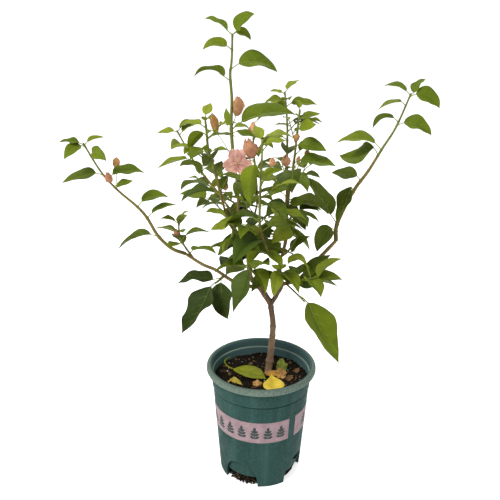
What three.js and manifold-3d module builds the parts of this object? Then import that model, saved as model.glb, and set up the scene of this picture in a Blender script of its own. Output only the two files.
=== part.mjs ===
// A young bougainvillea in its plastic nursery pot. Millimetres, +Z up, +X to the right, +Y away.
// The origin is the centre of the pot's flat underside. The plant is one trunk that forks low,
// woody boughs, and leafy shoots that grow on from the boughs' tips.
import * as THREE from "three";
import { mergeVertices } from "three/addons/utils/BufferGeometryUtils.js";
import Module from "manifold-3d";

const wasm = await Module();
wasm.setup();

// ---- driving dimensions --------------------------------------------------------------------

const CLEAR = 0.3; // gap kept between two solids that touch on the real plant
const UP = new THREE.Vector3(0, 0, 1);
const FRONT = new THREE.Vector3(0, -1, 0);

const POT = {
  height: 175,
  rimRadius: 80,
  lipHeight: 9,
  neckRadius: 72.4, // outside of the wall just under the lip
  footRadius: 60.2,
  wall: 2.2,
  floor: 3,
  stepHeight: 143, // ring where the collar of the pot stands proud of the body
  stepOut: 0.9,
  ledgeDepth: 12, // stacking ledge inside, below the rim
  sides: 36,
};
const ARCH = {
  count: 4,
  turn: -29, // degrees of the first arch, from the front towards the right
  width: 52,
  height: 39,
  squareness: 2.6, // exponent of the arch's outline
  panelRadius: 57.2, // outside of the recessed panel that closes each arch above its slot
  panelThick: 2.2,
  slotHeight: 15,
  slotDepthAt: 48, // how near to the pot's axis the slot reaches through the floor
};
const SOIL = {
  top: 150,
  relief: 1.6,
  pad: 15,
  rings: 3,
  gap: 0.5, // to the pot
  plugRadius: 51, // soil that shows in the slots
  plugLift: 1,
};

const LEAF = {
  widthShare: 0.6, // width of a blade over its length
  fold: 18, // degrees that each half of a blade rises from its midrib
  thickShare: 0.013,
  petioleShare: 0.24,
  petioleRadius: 0.55,
  petioleRise: 0.8, // how much a stalk follows its stem, against 1 straight away from it
  stations: [0, 0.33, 0.68], // shares of the length where a blade has an edge point
  widest: 0.36,
};
const TWIG = {
  length: 30,
  rise: 0.9,
  radii: [0.9, 0.6],
  leaves: [
    { share: 0.5, turn: -75 },
    { share: 0.78, turn: 80 },
    { share: 0.97, turn: 5 },
  ],
  leafShare: 0.62, // length of a twig's leaf over that of the shoot's leaves
};
const BLOOM = {
  budRadius: 0.33, // share of a closed bloom's height
  stalkLean: 0.6, // outwards for each 1 upwards
  closedLean: 0.25,
  openLean: 1.6,
  openBud: 0.35, // size of the flowers inside an open bloom, over the bloom's
  bractShare: 0.62, // length of an open bract over the bloom's height
  bracts: 3,
  firstBract: -30, // degrees round an open bloom
  bractWidth: 0.86,
};

// Stems. `from` is the point where a stem starts, or the stem it grows on and the share of that
// stem's length. `path` is the way to its tip, and `radii` its taper.
const TRUNK_FOOT = [11, 14, SOIL.top];
const LIMBS = {
  trunk: {
    from: TRUNK_FOOT,
    path: [[15, 14, 195], [16.5, 13, 232], [12, 12, 266]],
    radii: [5.3, 4.2],
  },
  left_fork: {
    from: ["trunk", 1],
    path: [[-4, 10, 291], [-17, 8, 308], [-20, 9, 336], [-27, 12, 360]],
    radii: [3.5, 2.3],
  },
  right_fork: {
    from: ["trunk", 0.97],
    path: [[22, 11, 281], [28, 10, 296], [25, 11, 314], [24, 12, 332]],
    radii: [2.8, 1.9],
  },
  left_bough: {
    from: ["left_fork", 0.25],
    path: [[-24, -5, 300], [-42, -12, 310], [-64, -20, 329], [-82, -26, 340], [-104, -31, 357]],
    radii: [2.4, 1.8],
  },
  leader_bough: {
    from: ["left_fork", 1],
    path: [[-34, 19, 392], [-35, 22, 425], [-38, 22, 452]],
    radii: [2, 1.5],
  },
  mid_left_bough: {
    from: ["left_fork", 0.98],
    path: [[-45, -5, 389], [-50, -15, 408], [-55, -28, 432]],
    radii: [1.8, 1.4],
  },
  upper_left_bough: {
    from: ["left_fork", 0.9],
    path: [[-40, 25, 391], [-61, 45, 416]],
    radii: [1.6, 1.3],
  },
  front_bough: {
    from: ["right_fork", 0.98],
    path: [[10, -10, 346], [2, -30, 372]],
    radii: [1.7, 1.3],
  },
  back_bough: {
    from: ["right_fork", 1],
    path: [[30, 25, 342], [35, 45, 357], [32, 65, 383]],
    radii: [1.8, 1.4],
  },
  mid_right_bough: {
    from: ["back_bough", 0.33],
    path: [[33, 20, 381], [33, 12, 410]],
    radii: [1.6, 1.3],
  },
  right_bough: {
    from: ["right_fork", 0.5],
    path: [[49, 6, 304], [68, 10, 323], [92, 20, 346], [103, 26, 356]],
    radii: [2.5, 2.3],
  },
  rear_bough: {
    from: ["left_fork", 0.75],
    path: [[-16, 40, 366], [-8, 70, 396]],
    radii: [1.6, 1.3],
  },
};

// Leafy shoots, one node each. By the rule, `count` leaves stand along the shoot from the share
// `bare` on. `turn` is where the first one points, in degrees from the front towards the right,
// and `step` is the turn from one to the next. `size` is a blade's length at the shoot's foot and
// at its tip, and `hang` the slope of the lowest blade at its base and tip, in degrees.
// Leaves that stand alone are listed in `single`: share, turn, length, slope at the base, slope at
// the tip, roll. `twigs` are share and turn. `blooms` are share, turn, length of the stalk, height,
// and for an open bloom the turn that it faces.
const SHOOTS = {
  left_shoot: {
    from: ["left_bough", 1],
    path: [
      [-121, -36, 366], [-138, -40, 385], [-151, -45, 412], [-164, -48, 429], [-185, -52, 450],
      [-203, -58, 475], [-221, -64, 512],
    ],
    radii: [1.7, 0.7],
    single: [
      [0.27, 275, 50, 0, -50, 0], [0.42, 100, 35, 35, 0, 5], [0.55, 105, 37, 35, -25, 20],
      [0.74, 70, 26, 5, 30, 30], [0.8, 100, 41, 20, -20, 20], [0.83, 280, 44, -10, -20, -20],
      [0.94, 50, 30, 25, -50, 70], [0.99, 105, 22, 30, -5, 15], [0.99, 285, 25, 20, -10, -15],
      [0.98, 315, 29, -5, -55, -30],
    ],
    blooms: [[0.72, 185, 27, 15], [0.76, 290, 4, 14]],
  },
  left_sprig: {
    from: ["left_bough", 0.9],
    path: [[-109, -30, 376], [-113, -26, 404]],
    radii: [1, 0.6],
    rule: { count: 9, bare: 0.15, turn: 60, step: 137, size: [36, 19], hang: [20, -10] },
    blooms: [[0.32, 288, 20, 10]],
  },
  left_skirt: {
    from: ["left_bough", 0.5],
    path: [[-58, -26, 318], [-64, -40, 318]],
    radii: [1.3, 0.8],
    single: [
      [0.74, 330, 81, -50, -10, 20], [0.3, 355, 58, -75, -5, 35], [0.3, 265, 53, 15, -35, -10],
    ],
  },
  fork_skirt: {
    from: ["left_fork", 0.62],
    path: [[-17, -12, 329], [-15, -32, 338]],
    radii: [1.3, 0.8],
    rule: { count: 5, bare: 0.2, turn: 210, step: 137, size: [58, 44], hang: [6, -56] },
    single: [
      [0.95, 305, 61, -65, -45, 15], [0.84, 225, 48, -5, -70, 75], [0.99, 150, 20, 15, -50, -5],
    ],
  },
  centre_skirt: {
    from: ["mid_left_bough", 0.12],
    path: [[-37, -10, 384], [-45, -24, 404]],
    radii: [1.2, 0.8],
    single: [
      [0.98, 248, 30, 34, -24, 50], [0.72, 273, 27, -17, -18, -36], [0.3, 210, 27, 41, 25, -6],
      [0.3, 301, 55, -34, 6, 60], [0.3, 126, 35, -20, -3, 70],
    ],
  },
  upper_left_shoot: {
    from: ["upper_left_bough", 1],
    path: [[-81, 60, 437], [-96, 72, 453], [-108, 84, 471], [-124, 95, 497]],
    radii: [1.2, 0.7],
    rule: { count: 5, bare: 0.08, turn: 255, step: 144, size: [46, 26], hang: [14, -40] },
    single: [
      [0.97, 275, 25, 0, -15, -25], [0.94, 110, 27, 45, 0, 10], [0.55, 265, 49, -15, -25, -5],
      [0.28, 245, 37, 85, -50, 45], [0, 315, 28, -65, -10, 50],
    ],
    twigs: [[0.4, 100]],
  },
  mid_left_shoot: {
    from: ["mid_left_bough", 1],
    path: [[-62, -50, 473], [-69, -66, 505], [-71, -75, 534], [-72, -80, 547]],
    radii: [1.3, 0.7],
    rule: { count: 8, bare: 0.04, turn: 280, step: 137, size: [48, 19], hang: [10, -44] },
    single: [
      [0.65, 245, 32, -40, -65, 35], [0.41, 350, 30, -20, 0, -25], [0.23, 145, 25, 0, 35, 25],
      [0.06, 150, 23, 85, 5, 15],
    ],
    twigs: [[0.35, 260], [0.62, 60]],
    blooms: [[0.07, 94, 43, 32, 6]],
  },
  leader_shoot: {
    from: ["leader_bough", 1],
    path: [
      [-42, 20, 486], [-44, 18, 520], [-43, 15, 553], [-45, 12, 585], [-43, 10, 604],
      [-42, 7, 636],
    ],
    radii: [1.7, 0.8],
    single: [
      [0.99, 55, 36, 70, 5, 70], [0.99, 255, 34, 50, 0, 30], [0.99, 95, 23, 15, -70, 50],
      [0.9, 270, 34, 30, -50, -35], [0.72, 95, 54, 20, -45, 35], [0.62, 280, 44, 50, -50, 20],
      [0.3, 90, 74, 30, -15, 20], [0.31, 205, 25, 60, 60, -75], [0.27, 85, 31, -20, -10, 15],
    ],
    blooms: [[0.3, 145, 20, 26], [0.09, 274, 45, 27]],
  },
  front_shoot: {
    from: ["front_bough", 1],
    path: [[-4, -45, 392], [-6, -62, 419], [-6, -85, 461], [-5, -105, 505], [-5, -112, 526]],
    radii: [1.3, 0.7],
    rule: { count: 8, bare: 0.04, turn: 330, step: 137, size: [58, 24], hang: [8, -48] },
    single: [
      [0.73, 275, 50, -75, -95, 75], [0.67, 120, 23, 40, -5, 30], [0.95, 90, 24, 10, 0, 20],
    ],
    twigs: [[0.3, 80], [0.55, 70]],
    blooms: [[0.69, 250, 23, 23], [0.63, 113, 26, 12]],
  },
  back_shoot: {
    from: ["back_bough", 1],
    path: [[35, 80, 408], [35, 98, 449], [35, 110, 493], [33, 115, 524], [30, 118, 550]],
    radii: [1.4, 0.7],
    rule: { count: 9, bare: 0.03, turn: 120, step: 137, size: [52, 27], hang: [12, -42] },
    single: [
      [0.83, 85, 38, 5, -10, 25], [0.87, 270, 28, 20, -45, -20], [0.97, 270, 19, 10, 0, -20],
    ],
    twigs: [[0.3, 200], [0.6, 110]],
    blooms: [[0.35, 340, 11, 19], [0.3, 185, 14, 15]],
  },
  mid_right_shoot: {
    from: ["mid_right_bough", 1],
    path: [[34, 0, 438], [38, -15, 480], [40, -28, 517], [42, -36, 550]],
    radii: [1.3, 0.7],
    rule: { count: 7, bare: 0.05, turn: 60, step: 144, size: [54, 19], hang: [10, -42] },
    single: [
      [0.9, 85, 23, 15, 10, 30], [0.84, 35, 31, -20, 35, 55], [0.64, 65, 36, 0, -20, 45],
      [0.48, 90, 48, 0, -10, 20], [0.1, 50, 27, -25, 35, 50], [0.27, 315, 34, 15, -45, -35],
      [0.04, 311, 38, -1, -45, -29], [0.01, 325, 35, -38, -23, -41], [0.02, 34, 31, -46, 0, 65],
    ],
    twigs: [[0.3, 120], [0.66, 200]],
    blooms: [
      [0.39, 124, 17, 9], [0.21, 88, 32, 17], [0.35, 84, 36, 10], [0.62, 5, 12, 12],
    ],
  },
  mid_right_skirt: {
    from: ["back_bough", 0.12],
    path: [[36, 4, 350], [46, -12, 376]],
    radii: [1.2, 0.8],
    single: [
      [0.98, 233, 44, -19, -59, 74], [0.3, 89, 36, 67, 17, 21], [0.3, 254, 39, 18, -18, -42],
    ],
  },
  right_shoot: {
    from: ["right_bough", 1],
    path: [
      [105, 36, 379], [127, 50, 422], [148, 59, 450], [167, 68, 480], [185, 76, 508],
      [205, 89, 553],
    ],
    radii: [2.1, 0.8],
    single: [
      [0.99, 120, 29, 75, 5, 5], [0.99, 250, 34, 35, -15, -15], [0.98, 90, 43, 5, -65, 60],
      [0.94, 250, 36, -5, -40, -10], [0.86, 265, 37, 15, -75, -15], [0.84, 75, 45, 10, -55, 40],
      [0.65, 260, 56, 20, -25, -15], [0.61, 225, 68, -50, 10, -40], [0.41, 245, 39, 5, -5, -40],
      [0.33, 320, 57, -60, -45, 25], [0.16, 235, 72, 55, 35, 0], [0.1, 310, 43, -15, -85, -40],
    ],
  },
  right_skirt: {
    from: ["right_bough", 0.2],
    path: [[46, -12, 311], [66, -24, 320]],
    radii: [1.2, 0.8],
    rule: { count: 4, bare: 0.2, turn: 90, step: 137, size: [54, 44], hang: [10, -34] },
    single: [
      [0.3, 50, 33, 5, 5, 70], [0.82, 85, 42, 20, -20, 20], [0.56, 105, 52, 45, 15, 0],
      [0.99, 230, 46, 70, -70, 40],
    ],
  },
  front_skirt: {
    from: ["right_fork", 0.72],
    path: [[22, -8, 323], [20, -28, 334]],
    radii: [1.2, 0.8],
    rule: { count: 4, bare: 0.3, turn: 300, step: 137, size: [50, 40], hang: [10, -50] },
    single: [[0.99, 305, 37, -40, -95, -45], [0.3, 100, 35, -15, -25, 40]],
  },
  right_drop: {
    from: ["right_bough", 0.06],
    path: [[45, -20, 297], [57, -38, 291]],
    radii: [0.9, 0.7],
    single: [[0.66, 35, 91, -50, -35, -10]],
  },
  rear_shoot: {
    from: ["rear_bough", 1],
    path: [[-10, 98, 430], [-14, 122, 466], [-14, 138, 502]],
    radii: [1.2, 0.7],
    rule: { count: 8, bare: 0.05, turn: 190, step: 137, size: [52, 28], hang: [10, -44] },
    twigs: [[0.35, 250], [0.6, 120]],
    blooms: [[0.72, 185, 16, 18]],
  },
  rear_skirt: {
    from: ["rear_bough", 0.5],
    path: [[10, 62, 354], [34, 78, 340]],
    radii: [1.2, 0.8],
    rule: { count: 6, bare: 0.2, turn: 180, step: 137, size: [62, 48], hang: [0, -62] },
  },
  rear_left_shoot: {
    from: ["rear_bough", 0.8],
    path: [[-44, 92, 392], [-84, 118, 412]],
    radii: [1.2, 0.7],
    rule: { count: 7, bare: 0.08, turn: 200, step: 137, size: [48, 27], hang: [8, -46] },
    twigs: [[0.5, 230]],
    blooms: [[0.62, 200, 12, 15]],
  },
};

// Leaves that have dropped onto the soil: foot of the blade from above, heading in degrees from the
// right towards the back, length, the slope at its two ends, and its width over its length where it
// isn't the usual one.
const FALLEN = {
  fallen_leaf_green: { foot: [-42, 20], heading: -31, length: 58, slopes: [12, -10] },
  fallen_leaf_yellow: { foot: [20, -42], heading: 98, length: 40, slopes: [14, -6], widthShare: 0.8 },
  fallen_leaf_orange: { foot: [30, -2], heading: 168, length: 25, slopes: [24, -16] },
};
const FALLEN_FOLD = 8;

// How finely stems are made, and how much thicker the trunk gets at its foot.
const TRUNK_DETAIL = { sides: 10, rings: 8, flare: 1.8 };
const LIMB_DETAIL = { sides: 6, rings: 6 };
const SHOOT_DETAIL = { sides: 5, mostRings: 8, ringsAPoint: 2 };
const TWIG_DETAIL = { sides: 3, rings: 2 };

const COLOURS = {
  pot: 0x4c6661,
  soil: 0x2b2419,
  bark: 0x6f5a45,
  leaf: 0x5f7526,
  fallenGreen: 0x7c8a2c,
  fallenYellow: 0xd9bb3c,
  fallenOrange: 0xb5813a,
};

// ---- small tools -----------------------------------------------------------------------------

const vec = (p) => new THREE.Vector3(...p);
const rad = (degrees) => (degrees * Math.PI) / 180;
const mix = (a, b, share) => a + (b - a) * share;

// Evenly spread numbers from 0 to 1 that depend only on the seed.
function randomFrom(seed) {
  let state = seed >>> 0;
  return () => {
    state = (Math.imul(state, 1664525) + 1013904223) >>> 0;
    return state / 4294967296;
  };
}

function solidOf(geometry) {
  const bare = new THREE.BufferGeometry().setAttribute("position", geometry.getAttribute("position"));
  if (geometry.index) bare.setIndex(geometry.index);
  const merged = mergeVertices(bare, 1e-4);
  const index = merged.index.array;
  const kept = [];
  for (let i = 0; i < index.length; i += 3) {
    const [a, b, c] = index.slice(i, i + 3);
    if (a !== b && b !== c && c !== a) kept.push(a, b, c);
  }
  return new wasm.Manifold(
    new wasm.Mesh({
      numProp: 3,
      vertProperties: merged.attributes.position.array,
      triVerts: new Uint32Array(kept),
    }),
  );
}

function geometryOf(solid) {
  const mesh = solid.getMesh();
  const geometry = new THREE.BufferGeometry();
  geometry.setAttribute("position", new THREE.BufferAttribute(mesh.vertProperties, mesh.numProp));
  geometry.setIndex(new THREE.BufferAttribute(mesh.triVerts, 1));
  geometry.computeVertexNormals();
  return geometry;
}

const joined = (solids) => solids.reduce((whole, piece) => whole.add(piece));

// The largest body of a solid: what a cut leaves as loose scraps is dropped.
function mainBody(solid) {
  const bodies = solid.decompose();
  return bodies.reduce((best, body) => (body.volume() > best.volume() ? body : best));
}

// A closed surface through rings of equally many points, with a flat fan at each end.
function ringedGeometry(rings) {
  const sides = rings[0].length;
  const points = rings.flat();
  const faces = [];
  for (let i = 0; i + 1 < rings.length; i++)
    for (let j = 0; j < sides; j++) {
      const a = i * sides + j;
      const b = i * sides + ((j + 1) % sides);
      faces.push(a, b, b + sides, a, b + sides, a + sides);
    }
  const last = (rings.length - 1) * sides;
  for (let j = 1; j + 1 < sides; j++) faces.push(0, j + 1, j, last, last + j, last + j + 1);
  const geometry = new THREE.BufferGeometry().setFromPoints(points);
  geometry.setIndex(faces);
  return geometry;
}

function lathe(profile, sides) {
  const outline = profile.map(([radius, height]) => new THREE.Vector2(radius, height));
  const geometry = new THREE.LatheGeometry(outline, sides);
  geometry.rotateX(Math.PI / 2);
  return solidOf(geometry);
}

// ---- pot ---------------------------------------------------------------------------------------

const wallRadius = (height) =>
  mix(POT.footRadius, POT.neckRadius, height / (POT.height - POT.lipHeight));

function potProfile() {
  const lipFoot = POT.height - POT.lipHeight;
  const ledge = POT.height - POT.ledgeDepth;
  const stepTop = wallRadius(POT.stepHeight) + POT.stepOut;
  const neck = POT.neckRadius + POT.stepOut;
  const inside = neck - POT.wall;
  return [
    [0, 0],
    [POT.footRadius - 1.5, 0],
    [POT.footRadius, 1.5],
    [wallRadius(POT.stepHeight - 1), POT.stepHeight - 1],
    [stepTop, POT.stepHeight],
    [neck, lipFoot],
    [POT.rimRadius - 1.2, lipFoot],
    [POT.rimRadius, lipFoot + 2.5],
    [POT.rimRadius - 0.6, POT.height - 2],
    [POT.rimRadius - 3, POT.height],
    [inside + 1.8, POT.height],
    [inside + 0.4, ledge],
    [inside - 1.2, ledge - 1],
    [POT.footRadius - POT.wall, POT.floor],
    [0, POT.floor],
  ];
}

const insideRadius = (height) => {
  const top = POT.neckRadius + POT.stepOut - POT.wall - 1.2;
  const share = (height - POT.floor) / (POT.height - POT.ledgeDepth - 1 - POT.floor);
  return mix(POT.footRadius - POT.wall, top, share);
};

// The outline of an arch, `grow` larger all round, from just below the ground.
function archOutline(grow = 0) {
  const outline = new THREE.Shape();
  const half = ARCH.width / 2 + grow;
  const steps = 10;
  outline.moveTo(-half, -1);
  for (let i = 0; i <= steps; i++) {
    const angle = Math.PI * (1 - i / steps);
    const across = Math.sign(Math.cos(angle)) * Math.abs(Math.cos(angle)) ** (2 / ARCH.squareness);
    const up = Math.abs(Math.sin(angle)) ** (2 / ARCH.squareness);
    outline.lineTo(half * across, (ARCH.height + grow) * up);
  }
  outline.lineTo(half, -1);
  return outline;
}

// All arches as blocks that run from `near` to past the rim, seen from the pot's axis.
function archBlocks(grow, near) {
  const blocks = Array.from({ length: ARCH.count }, (_, number) => {
    const depth = POT.rimRadius - near;
    const geometry = new THREE.ExtrudeGeometry(archOutline(grow), { depth, bevelEnabled: false });
    geometry.rotateX(Math.PI / 2); // the outline stands up, and the block runs from 0 to -Y
    geometry.translate(0, -near, 0);
    geometry.rotateZ(rad(ARCH.turn + (360 / ARCH.count) * number));
    return solidOf(geometry);
  });
  return joined(blocks);
}

function potSolid() {
  const top = POT.stepHeight;
  const inner = ARCH.panelRadius - ARCH.panelThick;
  const shell = lathe(
    [
      [inner, 0],
      [wallRadius(0) - 0.4, 0],
      [wallRadius(top) - 0.4, top],
      [inner, top],
      [inner, 0],
    ],
    POT.sides,
  );
  const linings = archBlocks(ARCH.panelThick, 0).intersect(shell);
  const behind = lathe(
    [
      [0, ARCH.slotHeight],
      [ARCH.panelRadius, ARCH.slotHeight],
      [ARCH.panelRadius, top],
      [0, top],
    ],
    POT.sides,
  );
  const recesses = archBlocks(0, ARCH.slotDepthAt).subtract(behind);
  return lathe(potProfile(), POT.sides).add(linings).subtract(recesses).simplify(0.06);
}

// ---- soil --------------------------------------------------------------------------------------

// Height of the soil: crumbly and a little hollow, and flat where the trunk stands.
function soilHeight(x, y) {
  const fromTrunk = Math.hypot(x - TRUNK_FOOT[0], y - TRUNK_FOOT[1]);
  const away = Math.min(1, Math.max(0, (fromTrunk - SOIL.pad) / 12));
  const waves = Math.sin(x * 0.17 + 1.1) + Math.sin(y * 0.21 - 0.4) + Math.sin((x + y) * 0.11);
  return SOIL.top + (SOIL.relief * away * waves) / 3;
}

function soilSolid() {
  const rim = insideRadius(SOIL.top) - 0.5;
  const foot = POT.floor + 0.4;
  const ring = (radius, height) =>
    Array.from({ length: POT.sides }, (_, j) => {
      const angle = (2 * Math.PI * j) / POT.sides;
      const x = radius * Math.cos(angle);
      const y = radius * Math.sin(angle);
      return new THREE.Vector3(x, y, height ?? soilHeight(x, y));
    });
  const rings = [ring(insideRadius(foot) - 0.5, foot)];
  for (let i = 0; i < SOIL.rings; i++) rings.push(ring(rim * (1 - i / SOIL.rings)));
  rings.push(ring(2));
  const body = solidOf(ringedGeometry(rings));
  const panel = ARCH.panelRadius - ARCH.panelThick - SOIL.gap;
  const low = -POT.floor;
  const high = ARCH.slotHeight - SOIL.gap;
  const inside = lathe(
    [
      [0, low],
      [SOIL.plugRadius, low],
      [SOIL.plugRadius, high],
      [panel, high],
      [panel, SOIL.top],
      [0, SOIL.top],
    ],
    POT.sides,
  );
  const linings = archBlocks(ARCH.panelThick + SOIL.gap, 0).subtract(inside);
  const slots = lathe(
    [
      [0, SOIL.plugLift],
      [SOIL.plugRadius, SOIL.plugLift],
      [SOIL.plugRadius, high],
      [0, high],
    ],
    POT.sides,
  );
  const plugs = archBlocks(-SOIL.gap, ARCH.slotDepthAt + SOIL.gap).intersect(slots);
  return mainBody(body.subtract(linings).add(plugs).simplify(0.06));
}

// ---- stems -------------------------------------------------------------------------------------

// Each stem as a smooth curve through its points.
const curves = {};
function stemCurve(name, stem) {
  const [parent, share] = stem.from;
  const foot = typeof parent === "string" ? curves[parent].getPoint(share) : vec(stem.from);
  curves[name] = new THREE.CatmullRomCurve3([foot, ...stem.path.map(vec)], false, "catmullrom", 0.5);
}

// How finely the stem of a shoot is made: a short one needs fewer rings.
function shootDetail(shoot) {
  const rings = Math.min(SHOOT_DETAIL.mostRings, SHOOT_DETAIL.ringsAPoint * shoot.path.length);
  return { sides: SHOOT_DETAIL.sides, rings };
}

// A tapering round stem from the share `start` of its curve to its tip, `grow` fatter all round.
function stemSolid(name, stem, { grow = 0, sides, rings, flare = 0 }) {
  const curve = curves[name];
  const across = new THREE.Vector3();
  const sections = [];
  for (let i = 0; i <= rings; i++) {
    const share = i / rings;
    const centre = curve.getPoint(share);
    const along = curve.getTangent(share);
    if (i === 0) centre.addScaledVector(along, -grow);
    if (i === rings) centre.addScaledVector(along, grow);
    const seed = i === 0 ? FRONT : across;
    across.copy(seed).addScaledVector(along, -seed.dot(along)).normalize();
    const other = new THREE.Vector3().crossVectors(along, across);
    const radius = mix(...stem.radii, share) + grow + flare * Math.max(0, 1 - share * 5) ** 2;
    sections.push(
      Array.from({ length: sides }, (_, j) => {
        const angle = (2 * Math.PI * j) / sides;
        return centre
          .clone()
          .addScaledVector(across, radius * Math.cos(angle))
          .addScaledVector(other, radius * Math.sin(angle));
      }),
    );
  }
  return solidOf(ringedGeometry(sections));
}

// ---- leaves and blooms ---------------------------------------------------------------------

// Level direction at `turn` degrees: 0 is the front, 90 the right.
const outward = (turn) => new THREE.Vector3(Math.sin(rad(turn)), -Math.cos(rad(turn)), 0);

// Half the blade's width at a share of its length, over its greatest half width.
function bladeWidth(share) {
  if (share < LEAF.widest) return 0.06 + 0.94 * Math.sin((Math.PI / 2) * (share / LEAF.widest)) ** 0.8;
  const rest = (share - LEAF.widest) / (1 - LEAF.widest);
  return Math.cos((Math.PI / 2) * rest) * (1 - 0.3 * rest);
}

// A blade bends in an upright plane from one slope to another. Its halves fold up by `fold`
// degrees and it leans to one side by `roll`. Returns its middle, side and normal at a share.
function bladeFrame(blade, share) {
  const heading = new THREE.Vector3(Math.cos(rad(blade.heading)), Math.sin(rad(blade.heading)), 0);
  const [start, end] = blade.slopes.map(rad);
  const bend = Math.abs(end - start) < 1e-3 ? -1e-3 : end - start;
  const slope = start + bend * share;
  const forward = (blade.length * (Math.sin(slope) - Math.sin(start))) / bend;
  const rise = (-blade.length * (Math.cos(slope) - Math.cos(start))) / bend;
  const middle = blade.foot.clone().addScaledVector(heading, forward).addScaledVector(UP, rise);
  const along = heading.clone().multiplyScalar(Math.cos(slope)).addScaledVector(UP, Math.sin(slope));
  const side = new THREE.Vector3().crossVectors(UP, heading).applyAxisAngle(along, rad(blade.roll));
  const normal = new THREE.Vector3().crossVectors(along, side);
  return { middle, side, normal };
}

// The blade as a thin closed solid, `grow` larger all round. With `root` it is one piece with the
// stalk that leads there.
function bladeSolid(blade, { grow = 0, root } = {}) {
  const thick = blade.length * LEAF.thickShare + 2 * grow;
  const half = (blade.length * (blade.widthShare ?? LEAF.widthShare)) / 2;
  const rings = LEAF.stations.map((share) => {
    const { middle, side, normal } = bladeFrame(blade, share);
    const reach = half * bladeWidth(share) + grow;
    const edge = (sign) =>
      middle
        .clone()
        .addScaledVector(side, sign * reach * Math.cos(rad(blade.fold)))
        .addScaledVector(normal, reach * Math.sin(rad(blade.fold)));
    return [
      middle.clone().addScaledVector(normal, thick / 2),
      edge(-1),
      middle.clone().addScaledVector(normal, -thick / 2),
      edge(1),
    ];
  });
  if (root) {
    const { middle, side } = bladeFrame(blade, 0);
    const along = middle.clone().sub(root).normalize();
    const upper = new THREE.Vector3().crossVectors(along, side).normalize();
    const corner = (way, sign) => root.clone().addScaledVector(way, sign * LEAF.petioleRadius);
    rings.unshift([corner(upper, 1), corner(side, -1), corner(upper, -1), corner(side, 1)]);
  }
  const tip = bladeFrame(blade, 1 + grow / blade.length).middle;
  return solidOf(ringedGeometry([...rings, rings[0].map(() => tip)]));
}

function rodSolid(from, to, radius, sides = 3) {
  const along = to.clone().sub(from).normalize();
  const across = Math.abs(along.z) < 0.9 ? UP.clone() : FRONT.clone();
  across.addScaledVector(along, -across.dot(along)).normalize();
  const other = new THREE.Vector3().crossVectors(along, across);
  const ring = (centre) =>
    Array.from({ length: sides }, (_, j) => {
      const angle = (2 * Math.PI * j) / sides;
      return centre
        .clone()
        .addScaledVector(across, radius * Math.cos(angle))
        .addScaledVector(other, radius * Math.sin(angle));
    });
  return solidOf(ringedGeometry([ring(from), ring(to)]));
}

// A leaf on its stalk, at a share of a shoot's length and `turn` degrees round the plant.
function leafAt(name, share, turn, length, slopes, roll, fold) {
  const root = curves[name].getPoint(share);
  const reach = length * LEAF.petioleShare;
  const rising = curves[name].getTangent(share).multiplyScalar(LEAF.petioleRise);
  const stalk = outward(turn).add(rising).normalize();
  const foot = root.clone().addScaledVector(stalk, reach);
  return { root, foot, heading: turn - 90, length, slopes, roll, fold };
}

// Leaf number `i` of a shoot by the rule, swung round the stem by `swing` degrees.
function leafByRule(name, shoot, i, swing) {
  const random = randomFrom(Object.keys(SHOOTS).indexOf(name) * 1000 + i * 17 + 5);
  random();
  const spread = () => random() * 2 - 1;
  const { count, bare, turn: firstTurn, step, size, hang } = shoot.rule;
  const age = i / (count - 1);
  const young = age ** 3;
  const share = mix(bare, 0.985, age ** 0.9);
  const turn = firstTurn + step * i + 12 * spread() + swing;
  const length = mix(...size, age ** 1.4) * (1 + 0.13 * spread());
  const slope = mix(hang[0], 48, young) + 12 * spread();
  const tipSlope = mix(hang[1], 8, young) + 16 * spread();
  return leafAt(name, share, turn, length, [slope, tipSlope], 16 * spread(), 22 + 12 * spread());
}

const twigName = (name, k) => name + "_twig_" + (k + 1);

function layTwig(name, [share, turn], k) {
  const root = curves[name].getPoint(share);
  const rising = curves[name].getTangent(share).multiplyScalar(TWIG.rise);
  const way = outward(turn).add(rising).normalize();
  const half = root.clone().addScaledVector(way, TWIG.length / 2);
  const tip = root.clone().addScaledVector(way, TWIG.length).addScaledVector(UP, TWIG.length / 9);
  curves[twigName(name, k)] = new THREE.CatmullRomCurve3([root, half, tip], false, "catmullrom", 0.5);
}

// Leaf `j` of side twig `k`.
function twigLeaf(name, shoot, k, j, swing) {
  const random = randomFrom(Object.keys(SHOOTS).indexOf(name) * 1000 + k * 61 + j * 7 + 400);
  random();
  const spread = () => random() * 2 - 1;
  const [share, twigTurn] = shoot.twigs[k];
  const place = TWIG.leaves[j];
  const turn = twigTurn + place.turn + 15 * spread() + swing;
  const length = mix(...shoot.rule.size, share) * TWIG.leafShare * (1 + 0.12 * spread());
  const slopes = [22 + 12 * spread(), -22 + 16 * spread()];
  return leafAt(twigName(name, k), place.share, turn, length, slopes, 16 * spread(), LEAF.fold);
}

function singleLeaf(name, shoot, i, swing) {
  const [share, turn, length, slope, tipSlope, roll] = shoot.single[i];
  return leafAt(name, share, turn + swing, length, [slope, tipSlope], roll, LEAF.fold);
}

const SWINGS = [0, 20, -20, 40, -40, 62, -62];

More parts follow.
